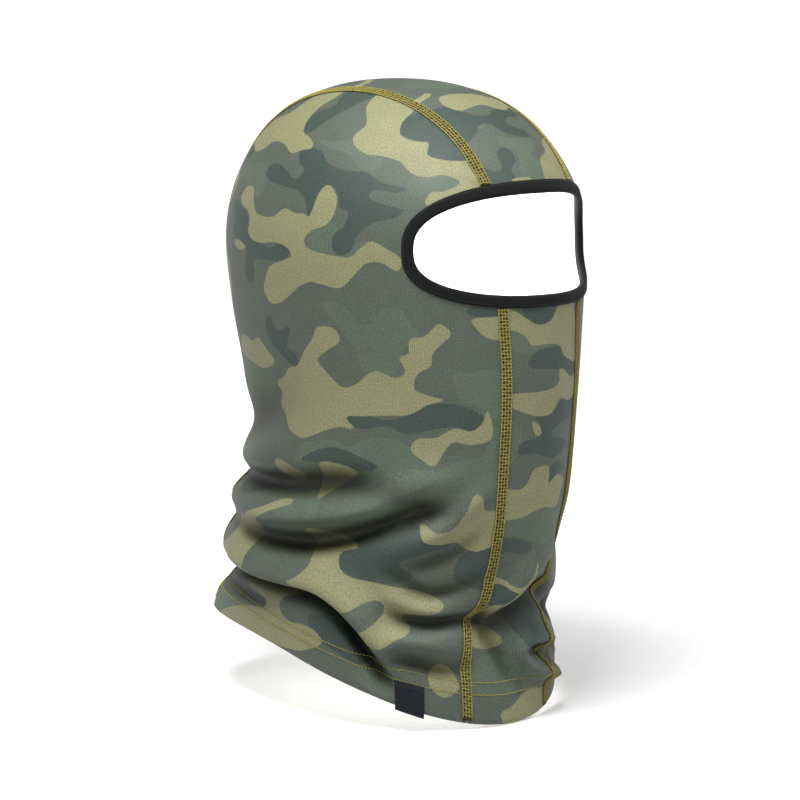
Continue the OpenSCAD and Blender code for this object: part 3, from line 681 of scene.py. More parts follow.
# %% Patches of the side panel
SIDE_PATCHES = {
    "khaki": [
        [(-18, 97), (-18, 84), (-22, 76), (-26, 68), (-23, 60), (-27, 54), (-34, 50), (-42, 49),
         (-52, 46), (-59, 40), (-67, 38), (-76, 39), (-85, 35), (-78, 31), (-71, 30), (-70, 24),
         (-82, 24), (-100, 34), (-112, 44), (-92, 50), (-84, 47), (-74, 47), (-64, 50), (-62, 57),
         (-54, 58), (-46, 62), (-43, 70), (-44, 77), (-42, 84), (-30, 94)],
        [(6, 99), (14, 96), (22, 92), (27, 84), (31, 76), (40, 71), (52, 69), (66, 64), (72, 58),
         (62, 53), (52, 50), (44, 48), (36, 50), (28, 55), (18, 54), (10, 49), (3, 51), (-3, 53),
         (2, 59), (8, 62), (10, 70), (9, 80), (5, 90)],
        [(-19, 33), (-15, 29), (-13, 22), (-11, 16), (-8, 18), (-2, 18), (5, 20), (11, 16),
         (18, 15), (27, 17), (31, 24), (33, 29), (40, 29), (46, 24), (43, 20), (35, 17), (32, 13),
         (33, 7), (28, 3), (20, 2), (10, 3), (2, 1), (-1, -3), (6, -6), (14, -9), (18, -15),
         (20, -21), (16, -27), (9, -27), (2, -23), (-5, -18), (-12, -15), (-20, -16), (-29, -17),
         (-36, -11), (-42, -5), (-50, -4), (-58, -8), (-60, -2), (-52, 3), (-45, 6), (-39, 2),
         (-34, -2), (-22, -1), (-12, 1), (-9, 5), (-13, 10), (-21, 13), (-25, 19), (-25, 27)],
        [(34, -2), (42, -3), (50, -1), (51, 2), (43, 2), (37, 0)],
        [(-84, -38), (-78, -33), (-71, -39), (-63, -41), (-62, -48), (-57, -50), (-60, -57),
         (-54, -60), (-46, -57), (-40, -59), (-34, -64), (-27, -66), (-21, -62), (-17, -58),
         (-13, -53), (-20, -48), (-27, -43), (-24, -37), (-15, -37), (-11, -43), (-5, -50),
         (0, -57), (7, -59), (12, -64), (19, -67), (15, -72), (18, -78), (13, -83), (8, -90),
         (0, -93), (-8, -91), (-15, -88), (-25, -85), (-34, -86), (-28, -80), (-38, -79),
         (-50, -78), (-62, -77), (-72, -72), (-83, -71), (-71, -68), (-64, -65), (-66, -58),
         (-73, -54), (-74, -48), (-79, -43)],
        [(-103, -75), (-107, -82), (-106, -88), (-95, -90), (-85, -89), (-80, -94), (-76, -99),
         (-69, -97), (-63, -93), (-66, -88), (-76, -87), (-85, -83), (-95, -84), (-101, -80)],
        [(18, -57), (24, -51), (31, -46), (39, -48), (49, -46), (58, -48), (62, -55), (52, -58),
         (40, -60), (29, -61)],
        [(-34, -106), (-27, -103), (-13, -103), (-12, -109), (-8, -116), (-11, -120), (-19, -115),
         (-28, -110)],
        [(0, -112), (8, -108), (17, -105), (20, -109), (15, -115), (7, -117)],
        [(-104, -112), (-99, -111), (-95, -118), (-89, -125), (-80, -127), (-71, -125), (-74, -131),
         (-84, -133), (-92, -132), (-100, -135), (-109, -135), (-118, -130), (-118, -119),
         (-107, -118)],
        [(-38, -140), (-24, -137), (-8, -136), (-2, -139), (-6, -146), (-10, -151), (-4, -156),
         (1, -159), (-8, -162), (-20, -163), (-30, -165), (-45, -161), (-56, -161), (-57, -166),
         (-46, -171), (-44, -177), (-54, -178), (-66, -174), (-74, -170), (-68, -166), (-84, -162),
         (-92, -158), (-80, -155), (-60, -154), (-40, -153), (-30, -150), (-28, -144)],
        [(4, -124), (14, -125), (27, -131), (38, -136), (46, -143), (56, -145), (62, -151),
         (64, -158), (73, -165), (88, -170), (86, -178), (62, -171), (46, -168), (34, -165),
         (36, -157), (35, -148), (32, -140), (20, -131)],
        [(0, -170), (12, -169), (26, -171), (38, -173), (44, -180), (34, -182), (23, -183),
         (24, -188), (32, -190), (44, -194), (62, -203), (44, -210), (22, -205), (2, -200),
         (-10, -195), (-19, -189), (-13, -185), (-3, -185), (6, -187), (12, -182), (9, -176)],
        [(-104, -190), (-99, -184), (-91, -183), (-85, -188), (-87, -193), (-94, -195),
         (-100, -193)],
        [(-124, -30), (-106, -30), (-95, -31), (-98, -36), (-106, -41), (-124, -40)],
        [(62, -12), (72, -6), (84, -11), (96, -4), (112, -8), (112, -28), (98, -24), (86, -31),
         (76, -25), (66, -27)],
        [(60, 31), (70, 40), (84, 36), (98, 26), (98, 12), (86, 9), (76, 18), (66, 20)],
        [(82, -54), (94, -47), (114, -50), (114, -74), (102, -70), (92, -62)],
        [(66, -110), (78, -103), (94, -108), (114, -102), (114, -121), (96, -123), (82, -117)],
        [(86, -152), (100, -146), (114, -152), (114, -170), (100, -164)],
    ],
    "slate": [
        [(-90, 46), (-82, 56), (-68, 68), (-56, 78), (-47, 77), (-42, 72), (-43, 65), (-50, 60),
         (-60, 57), (-63, 51), (-74, 46)],
        [(-18, 97), (-8, 99), (2, 98), (1, 88), (0, 82), (7, 77), (10, 70), (7, 62), (2, 63),
         (-4, 72), (-10, 80), (-14, 87)],
        [(-60, 21), (-49, 24), (-42, 27), (-43, 31), (-55, 30), (-59, 32), (-46, 35), (-37, 40),
         (-24, 41), (-15, 45), (-9, 51), (0, 53), (4, 50), (2, 44), (-3, 40), (2, 35), (10, 40),
         (19, 43), (25, 38), (19, 33), (8, 31), (-2, 29), (-8, 24), (-10, 16), (-14, 24), (-19, 33),
         (-25, 29), (-27, 22), (-32, 20), (-31, 13), (-26, 9), (-25, 2), (-29, -1), (-35, 1),
         (-38, 9), (-46, 15), (-54, 17)],
        [(0, 0), (6, 3), (14, 0), (22, 2), (31, 4), (32, 12), (38, 17), (46, 20), (53, 22),
         (56, 18), (51, 12), (52, 7), (49, 3), (41, 1), (35, -1), (35, -6), (38, -13), (35, -18),
         (30, -18), (27, -13), (28, -8), (21, -6), (9, -6), (2, -4)],
        [(-103, -80), (-96, -75), (-85, -72), (-72, -72), (-62, -77), (-50, -80), (-38, -78),
         (-29, -78), (-28, -82), (-37, -85), (-50, -83), (-60, -86), (-72, -84), (-85, -82),
         (-96, -84)],
        [(3, -38), (12, -41), (17, -34), (21, -37), (20, -46), (12, -52), (5, -57), (0, -58),
         (0, -52), (6, -48)],
        [(-90, -133), (-76, -128), (-62, -125), (-50, -127), (-40, -133), (-31, -141), (-29, -149),
         (-42, -153), (-62, -153), (-72, -149), (-62, -144), (-72, -139)],
        [(-124, -136), (-104, -135), (-95, -141), (-98, -149), (-124, -151)],
        [(22, -182), (34, -183), (47, -186), (46, -190), (34, -189), (24, -188)],
        [(10, -111), (20, -110), (32, -117), (46, -122), (60, -125), (74, -131), (60, -133),
         (40, -128), (20, -118)],
        [(-36, -98), (-22, -95), (-10, -98), (0, -104), (-8, -104), (-22, -103), (-36, -105),
         (-46, -102)],
        [(-50, -186), (-36, -179), (-20, -176), (-8, -180), (-14, -187), (-30, -191), (-44, -192)],
        [(-120, -18), (-100, -22), (-92, -28), (-106, -30), (-124, -28)],
        [(80, 8), (92, 4), (112, -2), (112, -14), (98, -10), (88, -2)],
        [(60, -68), (74, -61), (88, -70), (98, -84), (82, -88), (68, -79)],
        [(38, 62), (48, 66), (60, 56), (64, 44), (52, 44), (44, 54)],
        [(82, -130), (98, -125), (114, -132), (114, -146), (98, -141)],
    ],
    "sage": [
        [(-17, -25), (-25, -24), (-32, -27), (-38, -34), (-44, -34), (-48, -28), (-55, -25),
         (-61, -28), (-64, -34), (-69, -38), (-60, -46), (-58, -52), (-54, -60), (-46, -61),
         (-38, -56), (-35, -48), (-31, -41), (-23, -32)],
        [(-10, 8), (-13, 13), (-22, 15), (-28, 11), (-26, 5), (-31, 1), (-41, 6), (-45, 2),
         (-38, -6), (-30, -7), (-19, -3), (-12, 0)],
        [(-84, -58), (-95, -57), (-110, -58), (-112, -76), (-104, -79), (-97, -73), (-88, -70)],
        [(4, -102), (-5, -94), (-23, -92), (-29, -94), (-42, -89), (-57, -89), (-66, -95),
         (-69, -101), (-91, -97), (-103, -94), (-108, -83), (-118, -84), (-118, -110), (-99, -112),
         (-73, -111), (-78, -104), (-64, -108), (-53, -105), (-39, -111), (-32, -102), (-14, -105),
         (2, -112)],
        [(55, 36), (39, 42), (24, 41), (22, 33), (26, 24), (34, 27)],
        [(-60, 38), (-74, 40), (-84, 36), (-84, 31), (-72, 31), (-65, 28), (-60, 31)],
        [(-3, 58), (-17, 57), (-27, 60), (-33, 52), (-43, 47), (-42, 41), (-34, 42), (-24, 50),
         (-13, 53)],
        [(19, -121), (-2, -118), (-14, -120), (-13, -128), (12, -130)],
        [(-30, -120), (-48, -117), (-68, -116), (-65, -123), (-43, -126), (-25, -127)],
        [(20, -62), (32, -61), (46, -59), (60, -57), (76, -66), (84, -80), (60, -84), (40, -80),
         (26, -74)],
        [(60, -98), (76, -104), (84, -118), (64, -116), (52, -106)],
        [(-66, -192), (-52, -184), (-36, -190), (-44, -200), (-60, -202)],
        [(36, -186), (54, -190), (70, -188), (66, -200), (44, -202)],
        [(-8, -134), (4, -136), (22, -140), (28, -148), (12, -148), (-2, -144)],
    ],
}
print("side patches:", {k: len(v) for k, v in SIDE_PATCHES.items()})

# %% Patches of the face strip
FRONT_PATCHES = {
    "khaki": [
        [(-34, -25), (-22, -27), (-15, -31), (-7, -35), (2, -33), (6, -27), (12, -24), (20, -25),
         (24, -33), (27, -42), (29, -50), (25, -56), (17, -54), (12, -51), (8, -46), (-2, -45),
         (-11, -45), (-15, -40), (-22, -37), (-34, -36)],
        [(-30, -70), (-20, -68), (-8, -68), (4, -67), (9, -64), (9, -58), (15, -60), (20, -63),
         (27, -62), (34, -60), (34, -72), (27, -72), (19, -74), (11, -72), (5, -78), (-4, -79),
         (-13, -77), (-21, -74)],
        [(-9, -81), (-4, -83), (-2, -87), (-6, -87)],
        [(-34, -108), (-14, -110), (-8, -107), (-5, -102), (4, -101), (7, -105), (7, -109),
         (14, -106), (22, -109), (20, -115), (17, -120), (7, -119), (-2, -120), (-11, -122),
         (-34, -122)],
        [(-30, -144), (-14, -147), (-6, -148), (0, -143), (4, -138), (1, -145), (-5, -150),
         (-15, -149), (-30, -149)],
        [(-17, -158), (-10, -156), (-5, -150), (0, -155), (-3, -158), (-9, -159), (-12, -164),
         (-21, -163)],
        [(-34, -168), (-20, -167), (-10, -170), (-8, -174), (-16, -176), (-34, -173)],
        [(-10, -200), (-2, -197), (10, -193), (25, -195), (40, -197), (44, -206), (20, -206),
         (0, -208)],
    ],
    "slate": [
        [(-17, -26), (-10, -22), (-2, -22), (5, -26), (2, -33), (-6, -35), (-14, -32)],
        [(9, -47), (12, -52), (20, -54), (27, -55), (27, -61), (20, -62), (14, -60), (5, -58),
         (-5, -57), (-13, -55), (-8, -48), (0, -47)],
        [(-15, -79), (-4, -79), (5, -77), (11, -73), (20, -74), (30, -73), (31, -80), (20, -82),
         (11, -84), (5, -88), (20, -92), (12, -98), (2, -97), (-6, -95), (-15, -95), (-14, -90),
         (-5, -88), (-3, -83), (-8, -80)],
        [(6, -103), (14, -100), (22, -104), (14, -106), (9, -109), (5, -108)],
        [(-30, -131), (-15, -130), (-4, -132), (1, -135), (-6, -137), (-16, -136), (-30, -139)],
        [(-30, -149), (-13, -149), (-5, -150), (-9, -156), (-16, -158), (-30, -155)],
        [(-4, -162), (8, -158), (20, -162), (30, -172), (18, -178), (4, -174)],
    ],
    "sage": [
        [(-34, -36), (-22, -38), (-8, -38), (6, -28), (24, -26), (24, -36), (14, -46), (-2, -47),
         (-12, -50), (-20, -48), (-34, -50)],
        [(8, -52), (16, -50), (28, -52), (30, -60), (18, -60)],
        [(-34, -80), (-20, -80), (-14, -88), (-18, -98), (-26, -104), (-34, -104)],
        [(-24, -124), (-8, -121), (10, -120), (22, -117), (26, -128), (10, -134), (-10, -130),
         (-26, -132)],
        [(-24, -180), (-8, -178), (4, -186), (-8, -194), (-26, -190)],
    ],
}

# %% Patches of the crown and back strip
CROWN_PATCHES = {
    "khaki": [
        [(-20, 94), (-16, 99), (-6, 100), (6, 99), (16, 97), (26, 97), (40, 96), (40, 86), (29, 85),
         (22, 88), (16, 84), (8, 84), (0, 88), (-10, 86), (-17, 85), (-20, 89)],
        [(7, 34), (8, 47), (12, 51), (18, 54), (22, 61), (30, 65), (40, 68), (42, 40), (28, 34)],
        [(-34, 100), (-24, 103), (-18, 105), (-20, 101), (-34, 97)],
        [(-34, 136), (-22, 135), (-12, 139), (0, 146), (-12, 143), (-22, 139), (-34, 140)],
        [(-15, 36), (-5, 36), (-5, 39), (-15, 39)],
        [(-6, 168), (8, 162), (22, 166), (34, 176), (30, 190), (14, 188), (10, 178), (-4, 180),
         (-14, 176)],
        [(-40, 205), (-26, 200), (-14, 206), (-10, 216), (2, 220), (6, 232), (-6, 236), (-18, 228),
         (-30, 230), (-40, 224)],
        [(12, 250), (24, 244), (40, 248), (40, 268), (26, 266), (20, 276), (8, 272), (4, 262)],
        [(-40, 290), (-24, 286), (-12, 294), (4, 292), (16, 300), (12, 312), (-4, 310), (-16, 318),
         (-28, 312), (-40, 316)],
        [(6, 346), (20, 338), (40, 344), (40, 366), (24, 362), (14, 370), (-2, 366), (-10, 356)],
        [(-40, 384), (-22, 380), (-8, 388), (-2, 400), (-16, 408), (-40, 402)],
        [(0, 424), (14, 418), (40, 424), (40, 440), (18, 444), (4, 436)],
        [(-40, 452), (-20, 448), (-6, 456), (-14, 468), (-40, 470)],
    ],
    "slate": [
        [(-38, 87), (-20, 90), (-17, 85), (-12, 80), (-4, 79), (2, 83), (9, 84), (19, 85), (22, 80),
         (16, 78), (8, 77), (3, 74), (5, 70), (13, 67), (12, 63), (4, 63), (-4, 66), (-8, 72),
         (-14, 73), (-20, 68), (-28, 63), (-38, 64)],
        [(-17, 54), (-12, 57), (-8, 54), (-9, 48), (-14, 44), (-14, 36), (-34, 36), (-30, 48),
         (-22, 44), (-18, 46)],
        [(12, 87), (20, 89), (22, 85), (16, 82)],
        [(-20, 186), (-6, 184), (4, 192), (20, 194), (26, 206), (12, 210), (-2, 202), (-16, 200)],
        [(-6, 244), (-20, 250), (-34, 246), (-34, 262), (-18, 264), (-4, 258)],
        [(14, 280), (28, 284), (40, 292), (40, 306), (26, 302), (16, 294)],
        [(-26, 326), (-10, 322), (4, 328), (10, 338), (-4, 344), (-14, 338), (-30, 342)],
        [(10, 384), (26, 378), (40, 386), (34, 400), (20, 396), (10, 404), (2, 396)],
        [(-30, 420), (-16, 416), (-6, 424), (-12, 436), (-28, 438)],
    ],
    "sage": [
        [(-10, 64), (0, 62), (12, 62), (10, 56), (3, 52), (8, 46), (5, 38), (-3, 34), (-9, 36),
         (-8, 46), (-5, 54), (-12, 58)],
        [(-28, 74), (-18, 70), (-10, 74), (-14, 80), (-26, 82)],
        [(-20, 114), (-4, 107), (12, 110), (18, 120), (4, 128), (-14, 124)],
        [(10, 206), (26, 200), (40, 206), (40, 232), (26, 240), (12, 234), (6, 220)],
        [(-36, 272), (-18, 268), (0, 276), (8, 288), (-10, 290), (-24, 282), (-36, 284)],
        [(18, 312), (40, 308), (40, 334), (26, 334), (14, 326)],
        [(-40, 350), (-22, 348), (-12, 362), (-18, 376), (-40, 374)],
        [(4, 404), (22, 408), (40, 404), (38, 418), (16, 414)],
    ],
}
# greatest stored depth, inside or outside a patch
DEEP = 4.0


def depth_inside(u, v, patches):
    """How far each point lies inside the nearest patch: distance to its edge, negative outside."""
    best = np.full(u.shape, -DEEP)
    for points in patches:
        edge = smooth_line(points, closed=True, steps=5)
        edge = np.vstack([edge, edge[:1]])
        low, high = edge.min(0) - DEEP, edge.max(0) + DEEP
        near = (u > low[0]) & (u < high[0]) & (v > low[1]) & (v < high[1])
        if not near.any():
            continue
        pu, pv = u[near], v[near]
        gap = nearest(pu, pv, edge)[0]
        a, b = edge[:-1], edge[1:]
        crosses = (a[:, 1] > pv[:, None]) != (b[:, 1] > pv[:, None])
        run = np.where(b[:, 1] == a[:, 1], 1e-9, b[:, 1] - a[:, 1])
        at = a[:, 0] + (pv[:, None] - a[:, 1]) / run * (b[:, 0] - a[:, 0])
        inside = (crosses & (pu[:, None] < at)).sum(1) % 2 == 1
        best[near] = np.maximum(best[near], np.where(inside, gap, -gap))
    return np.minimum(best, DEEP)


def print_layers(u, v, patches):
    """Depth inside the khaki, slate and sage patches, and the cloth directions for the knit."""
    layers = {k: depth_inside(u.ravel(), v.ravel(), patches[k]).reshape(u.shape) for k in patches}
    layers["weave"] = np.stack([u, v, np.zeros(u.shape)], -1)
    return layers


print("front patches:", {k: len(v) for k, v in FRONT_PATCHES.items()})
print("crown patches:", {k: len(v) for k, v in CROWN_PATCHES.items()})

# %% [markdown]
# ## The four panels
# A panel's rows run from the end of its turned-up hem, round the fold at the hem and up to its top
# edge. The rows near the hem are closer together, because the fold and the stitch rows are there.

# %% Rows of a panel
CLOTH_T, TURN_GAP, HEM_TURN = 1.4, 0.3, 17.0
FOLD_R = CLOTH_T + TURN_GAP / 2
# a fold this deep gets the darkest painted shade
FOLD_SHADE_FULL = 5.0


def hem_rows(turned=12, fold=7):
    """Levels, offsets and cloth lengths of both faces up the turned-up hem and round its fold."""
    share = np.arange(turned) / turned
    up = HEM + HEM_TURN * (1 - share)
    a = np.pi * np.arange(fold) / (fold - 1)
    half = TURN_GAP / 2
    face_level = np.concatenate([up, HEM - FOLD_R * np.sin(a)])
    back_level = np.concatenate([up, HEM - half * np.sin(a)])
    face_off = np.concatenate([np.full(turned, -2 * FOLD_R), -FOLD_R - FOLD_R * np.cos(a)])
    back_off = np.concatenate([np.full(turned, -FOLD_R - half), -FOLD_R - half * np.cos(a)])
    length = np.concatenate([HEM - np.pi * FOLD_R - HEM_TURN * (1 - share),
                             HEM - FOLD_R * (np.pi - a)])
    return face_level, back_level, face_off, back_off, length


def body_shares(rows):
    """Shares from the hem to a top edge, closer together near the hem."""
    s = np.arange(1, rows + 1) / rows
    return 0.75 * s + 0.25 * s**2


def panel(name, node, hem_phi, phi, level, across, patches):
    """Closed sheet from hem angles and upper rows of angles and levels, with its print."""
    face_level, back_level, face_off, back_off, length = hem_rows()
    turned, cols, upper = len(length), len(hem_phi), len(phi)
    phi = np.vstack([np.repeat(hem_phi[None], turned, 0), phi])
    outer_level = np.vstack([np.repeat(face_level[:, None], cols, 1), level])
    inner_level = np.vstack([np.repeat(back_level[:, None], cols, 1), level])
    outer = cloth(phi, outer_level, np.concatenate([face_off, np.zeros(upper)])[:, None])
    inner = cloth(phi, inner_level, np.concatenate([back_off, np.full(upper, -CLOTH_T)])[:, None])
    u, v = across(phi, outer_level)
    v[:turned] = length[:, None]
    layers = print_layers(u, v, patches)
    # painted shade: the further a fold pushes the cloth in, the darker its colour is painted
    push = fold_shift(phi.ravel(), outer_level.ravel())[0].reshape(phi.shape)
    layers["hollow"] = np.clip(-push / FOLD_SHADE_FULL, 0, 1)
    points, faces = back_to_back(outer, inner)
    values = {k: np.concatenate([q.reshape(phi.size, -1).squeeze()] * 2) for k, q in layers.items()}
    printed = (outer.shape[0] - 1) * (cols - 1)
    piece = place_mesh(name, points, faces, [PRINTED, FLEECE],
                       np.arange(len(faces)) >= printed, values)
    stand_for(piece, node)
    print(name, len(faces), "faces")


# %% [markdown]
# A side panel starts at the face seam, follows the eye opening round, and ends along the crown
# seam. Each row is level, so its two ends are where that level meets the panel's edges.

# %% Side panels
# rows up the face seam, along each half of the opening and over the dome, and columns round
LOW_ROWS, EYE_ROWS, DOME_ROWS, SIDE_COLS = 112, 22, 40, 150
# millimetres of print to a degree round the head
PRINT_SCALE = 1.6
SIDE_TIP = np.radians(86.4)


def side_across(phi, level):
    """Cloth directions of a side panel: angle from the ear in mm, and arc length up the dome."""
    v = np.where(level > 0, CROWN * np.arcsin(np.clip(level / CROWN, 0, 1)), level)
    scale = np.where(level > 0, dome(level), 1)
    return (np.degrees(np.abs(phi)) - 90) * PRINT_SCALE * scale, v


def eased(share):
    """Shares that lie closer together at both ends."""
    return 0.5 * share + 0.25 * (1 - np.cos(np.pi * share))


def counted(rows):
    """Equal shares that end at one, without the one at nought."""
    return np.arange(1, rows + 1) / rows


def side_panel(side, name, node, shift, flip):
    """Rows up the face seam, round the opening and up the crown seam, each to the back edge."""
    cheek = CHEEK[side]
    low = HEM + (cheek - HEM) * body_shares(LOW_ROWS)
    low_phi = phi_at(face_half(low, side) + GAP / 2, low)
    edge_phi = EYE_ANGLE + EDGE / MM_PER_RADIAN
    cheek_phi = phi_at(face_half(cheek, side) + GAP / 2, cheek)
    cheek_turn = np.arccos((cheek_phi / edge_phi) ** (ROUND_DOWN / 2))
    brow_turn = np.arccos((phi_at(CROWN_BROW + GAP / 2, BROW) / edge_phi) ** (ROUND_UP / 2))
    turns = np.concatenate([-cheek_turn * (1 - counted(EYE_ROWS)), brow_turn * counted(EYE_ROWS)])
    eye_phi, eye_level = eye_outline(turns, EDGE)
    up = BROW_TURN + (SIDE_TIP - BROW_TURN) * counted(DOME_ROWS)
    dome_level = SIDE_TOP * np.sin(up)
    dome_phi = phi_at(crown_half(up) + GAP / 2, dome_level)
    level = np.concatenate([low, eye_level, dome_level])
    front = np.concatenate([low_phi, eye_phi, dome_phi])
    back_turn = np.pi - np.arcsin(np.clip(level / SIDE_TOP, 0, 1))
    back_x = np.where(level > 0, crown_half(back_turn), CROWN_NAPE) + GAP / 2
    back = np.pi - phi_at(back_x, level)
    share = eased(np.arange(SIDE_COLS) / (SIDE_COLS - 1))
    phi = side * (front[:, None] + (back - front)[:, None] * share)
    first = phi_at(face_half(HEM, side) + GAP / 2, HEM)
    last = np.pi - phi_at(CROWN_NAPE + GAP / 2, HEM)
    hem_phi = side * (first + (last - first) * share)
    levels = np.repeat(level[:, None], SIDE_COLS, 1)

    def across(phi, level):
        u, v = side_across(phi, level)
        return (u + shift[0]) * flip, (v + shift[1]) * flip

    panel(name, node, hem_phi, phi, levels, across, SIDE_PATCHES)


side_panel(RIGHT, "right_side", "right_side_panel", (0, 0), 1)
side_panel(LEFT, "left_side", "left_side_panel", (18, 96), -1)

# %% Face strip
FRONT_ROWS, FRONT_COLS = 125, 44


def front_panel():
    """Rows from the hem to the opening's lower edge; columns share the width between seams."""
    share = np.linspace(-1, 1, FRONT_COLS)

    def seam_x(right_level, left_level):
        half = np.where(share < 0, face_half(right_level, RIGHT), face_half(left_level, LEFT))
        return share * (half - GAP / 2)

    rim_phi = phi_at(seam_x(CHEEK[RIGHT], CHEEK[LEFT]), np.full(share.shape, CHEEK[RIGHT]))
    rim_level = eye_edge(rim_phi, EDGE, -1)
    level = HEM + (rim_level - HEM)[None, :] * body_shares(FRONT_ROWS)[:, None]
    hem_level = np.full(share.shape, HEM)

    def across(phi, level):
        return ring(level)[0] * np.sin(phi), level.copy()

    panel("front", "front_panel", phi_at(seam_x(hem_level, hem_level), hem_level),
          phi_at(seam_x(level, level), level), level, across, FRONT_PATCHES)


front_panel()

# %% Crown and back strip
BACK_ROWS, OVER_ROWS, STRIP_COLS = 120, 140, 52
# millimetres of print to a degree over the head, and the print's length from brow to nape
OVER_SCALE, OVER_LENGTH = 1.5, 270


def crown_back_panel():
    """Rows up the back from the hem, then over the crown by equal turns down to the brow."""
    share = np.linspace(-1, 1, STRIP_COLS)
    low = HEM * (1 - body_shares(BACK_ROWS))
    nape_x = share * (CROWN_NAPE - GAP / 2)
    low_phi = np.pi - phi_at(nape_x[None, :], low[:, None])
    low_level = np.repeat(low[:, None], STRIP_COLS, 1)
    brow_x = share * (CROWN_BROW - GAP / 2)
    start = np.arcsin(brow_level(np.abs(brow_x), EDGE) / top_level(brow_x))
    turn = np.pi - (np.pi - start) * counted(OVER_ROWS)[:, None]
    top_phi, top = strip_place(share * (crown_half(turn) - GAP / 2), turn)
    phi, level = np.vstack([low_phi, top_phi]), np.vstack([low_level, top])

    def across(phi, level):
        x = ring(level)[0] * np.sin(phi)
        lift = np.arcsin(np.clip(level / np.maximum(top_level(x), 1), 0, 1))
        turn = np.degrees(np.where(np.cos(phi) > 0, lift, np.pi - lift))
        return x, np.where(level > 0, turn * OVER_SCALE, OVER_LENGTH - level)

    panel("crown_back", "crown_back_panel", np.pi - phi_at(nape_x, HEM), phi, level,
          across, CROWN_PATCHES)


crown_back_panel()

# %% [markdown]
# ## Thread
# Sewing thread is two or three plies twisted together with a low sheen. Each thread is a thin tube,
# so it catches light on its own; a fine noise in its shade and bump stands for the plies.

# %% Thread materials
THREAD_R, EDGE_THREAD_R, LOOPER_R = 0.27, 0.31, 0.26


def thread(name, dark, light, rough=0.6):
    """Twisted thread: a shade that changes in short lengths, and a fine bump."""
    m = new_material(name)
    place = m.node("ShaderNodeTexCoord", {})["Object"]
    return m.look(Base_Color=m.mix(m.noise(place, 600), dark, light), Roughness=rough,
                  Sheen_Weight=0.04, Specular_IOR_Level=0.25,
                  Normal=m.bump(m.noise(place, 2400), 0.4, 0.0001))


OLIVE = thread("olive_thread", tone(98, 90, 38), tone(144, 135, 68))
# painted shade: the bed's olive is darkened to stand for the shadow in the gaps between threads
SHADED_THREAD_BED = thread("olive_thread_bed_with_painted_shade", tone(30, 29, 14), tone(56, 53, 24), 0.8)
BLACK = thread("black_thread", tone(10, 11, 11), tone(26, 27, 28))
print("thread materials:", OLIVE.name, SHADED_THREAD_BED.name, BLACK.name)

# %% [markdown]
# ## Flat seams
# The panels meet edge to edge and are joined by a four-needle flat seam: four lines of needle
# thread along it, and cover threads that cross between them every 1.6 mm. Each is modelled as
# thread, over a thin bed of thread that closes the small gaps; the bed is darkened with painted
# shade for the gaps, so the seam stays crisp close up.

# %% Paths along the seams
PITCH = 1.64
COVER_W = 4.9
NEEDLE_LINES, LOOPER_LINES = (-2.15, -0.72, 0.72, 2.15), (-1.9, 0.0, 1.9)
# how far along its stitch a rung starts, and the length of the bed's steps
RUNG_AT, BED_STEP = 0.7, 2.2
# height of the second point that gives a thread its outward direction
STEP_OUT = 0.5


def off_cloth(phi, level, off, way=1):
    """Points at a height off the cloth, and the direction that leads away from it."""
    low, high = cloth(phi, level, off), cloth(phi, level, off + way * STEP_OUT)
    return low, unit(high - low)


def crown_line(q, across, side):
    """Angle and level on a crown seam: q is the turn up to 180, then millimetres down the back."""
    q, across = np.broadcast_arrays(q, across)
    over = q <= 180
    turn = np.radians(np.minimum(q, 180))
    phi, level = strip_place(crown_half(turn) + across, turn)
    low = -(q - 180)
    low_phi = np.pi - phi_at(CROWN_NAPE + across, low)
    return side * np.where(over, phi, low_phi), np.where(over, level, low)


def face_line(q, across, side):
    """Angle and level on a face seam: q is the level."""
    q, across = np.broadcast_arrays(q, across)
    return side * phi_at(face_half(q, side) + across, q), q


def flat_seam(name, node, line, side, start, stop, inside=False):
    """Bed, rungs and needle lines of one seam, as tubes that follow the folded cloth."""
    q = np.linspace(start, stop, 900)
    run = arc_length(smooth_shape(*line(q, 0.0, side)))
    total = run[-1]
    count = int(total / PITCH) - 1
    way, base = (-1, -CLOTH_T) if inside else (1, 0.0)

    def place(s, across, height):
        return off_cloth(*line(np.interp(s, run, q), across, side), base + way * height, way)

    k = np.arange(count)[:, None]
    t = np.linspace(0, 1, 9)[None, :]
    sway = 0.22 * np.sin(2 * np.pi * t) + 0.16 * (t - 0.5)
    across = (t - 0.5) * COVER_W * np.where(k % 2 == 0, side, -side)
    height = 0.34 + 0.14 * np.sin(np.pi * t) + 0.05 * np.cos(6 * np.pi * t)
    rungs = tubes(*place((k + RUNG_AT + sway) * PITCH, across, height), THREAD_R, 4, 0.85)
    s = np.linspace(0.4, (count + 0.4) * PITCH, count * 4)
    wave = 2 * np.pi * (s / PITCH - RUNG_AT)
    needles = []
    for n, x in enumerate(LOOPER_LINES if inside else NEEDLE_LINES):
        outer = abs(x) > 2
        wobble = 0.16 * np.sin(wave + n) + (0.2 * np.sin(wave) if outer else 0)
        paths, outs = place(s, x + wobble, 0.56 + 0.20 * np.cos(wave))
        radius = EDGE_THREAD_R if outer else THREAD_R
        needles.append(tubes(paths[None], outs[None], radius, 4, 0.9))
    bed_s = np.linspace(0, total, int(total / BED_STEP))[:, None]
    bed_x = np.linspace(-0.5, 0.5, 7)[None, :] * (COVER_W - 0.2)
    top = place(bed_s, bed_x, 0.34 - 0.16 * (2 * bed_x / COVER_W) ** 4)[0]
    bed = back_to_back(top, place(bed_s, bed_x, 0.05)[0])
    points, faces = gather([bed, rungs, *needles])
    piece = place_mesh(name, points, faces, [OLIVE, SHADED_THREAD_BED],
                       np.arange(len(faces)) < len(bed[1]))
    stand_for(piece, node)
    print(name, "stitches:", count, "faces:", len(faces))


# %% [markdown]
# A seam starts at the binding's outer edge. The cover threads run just past the hem, and the
# looper threads stop above the turned-up cloth.

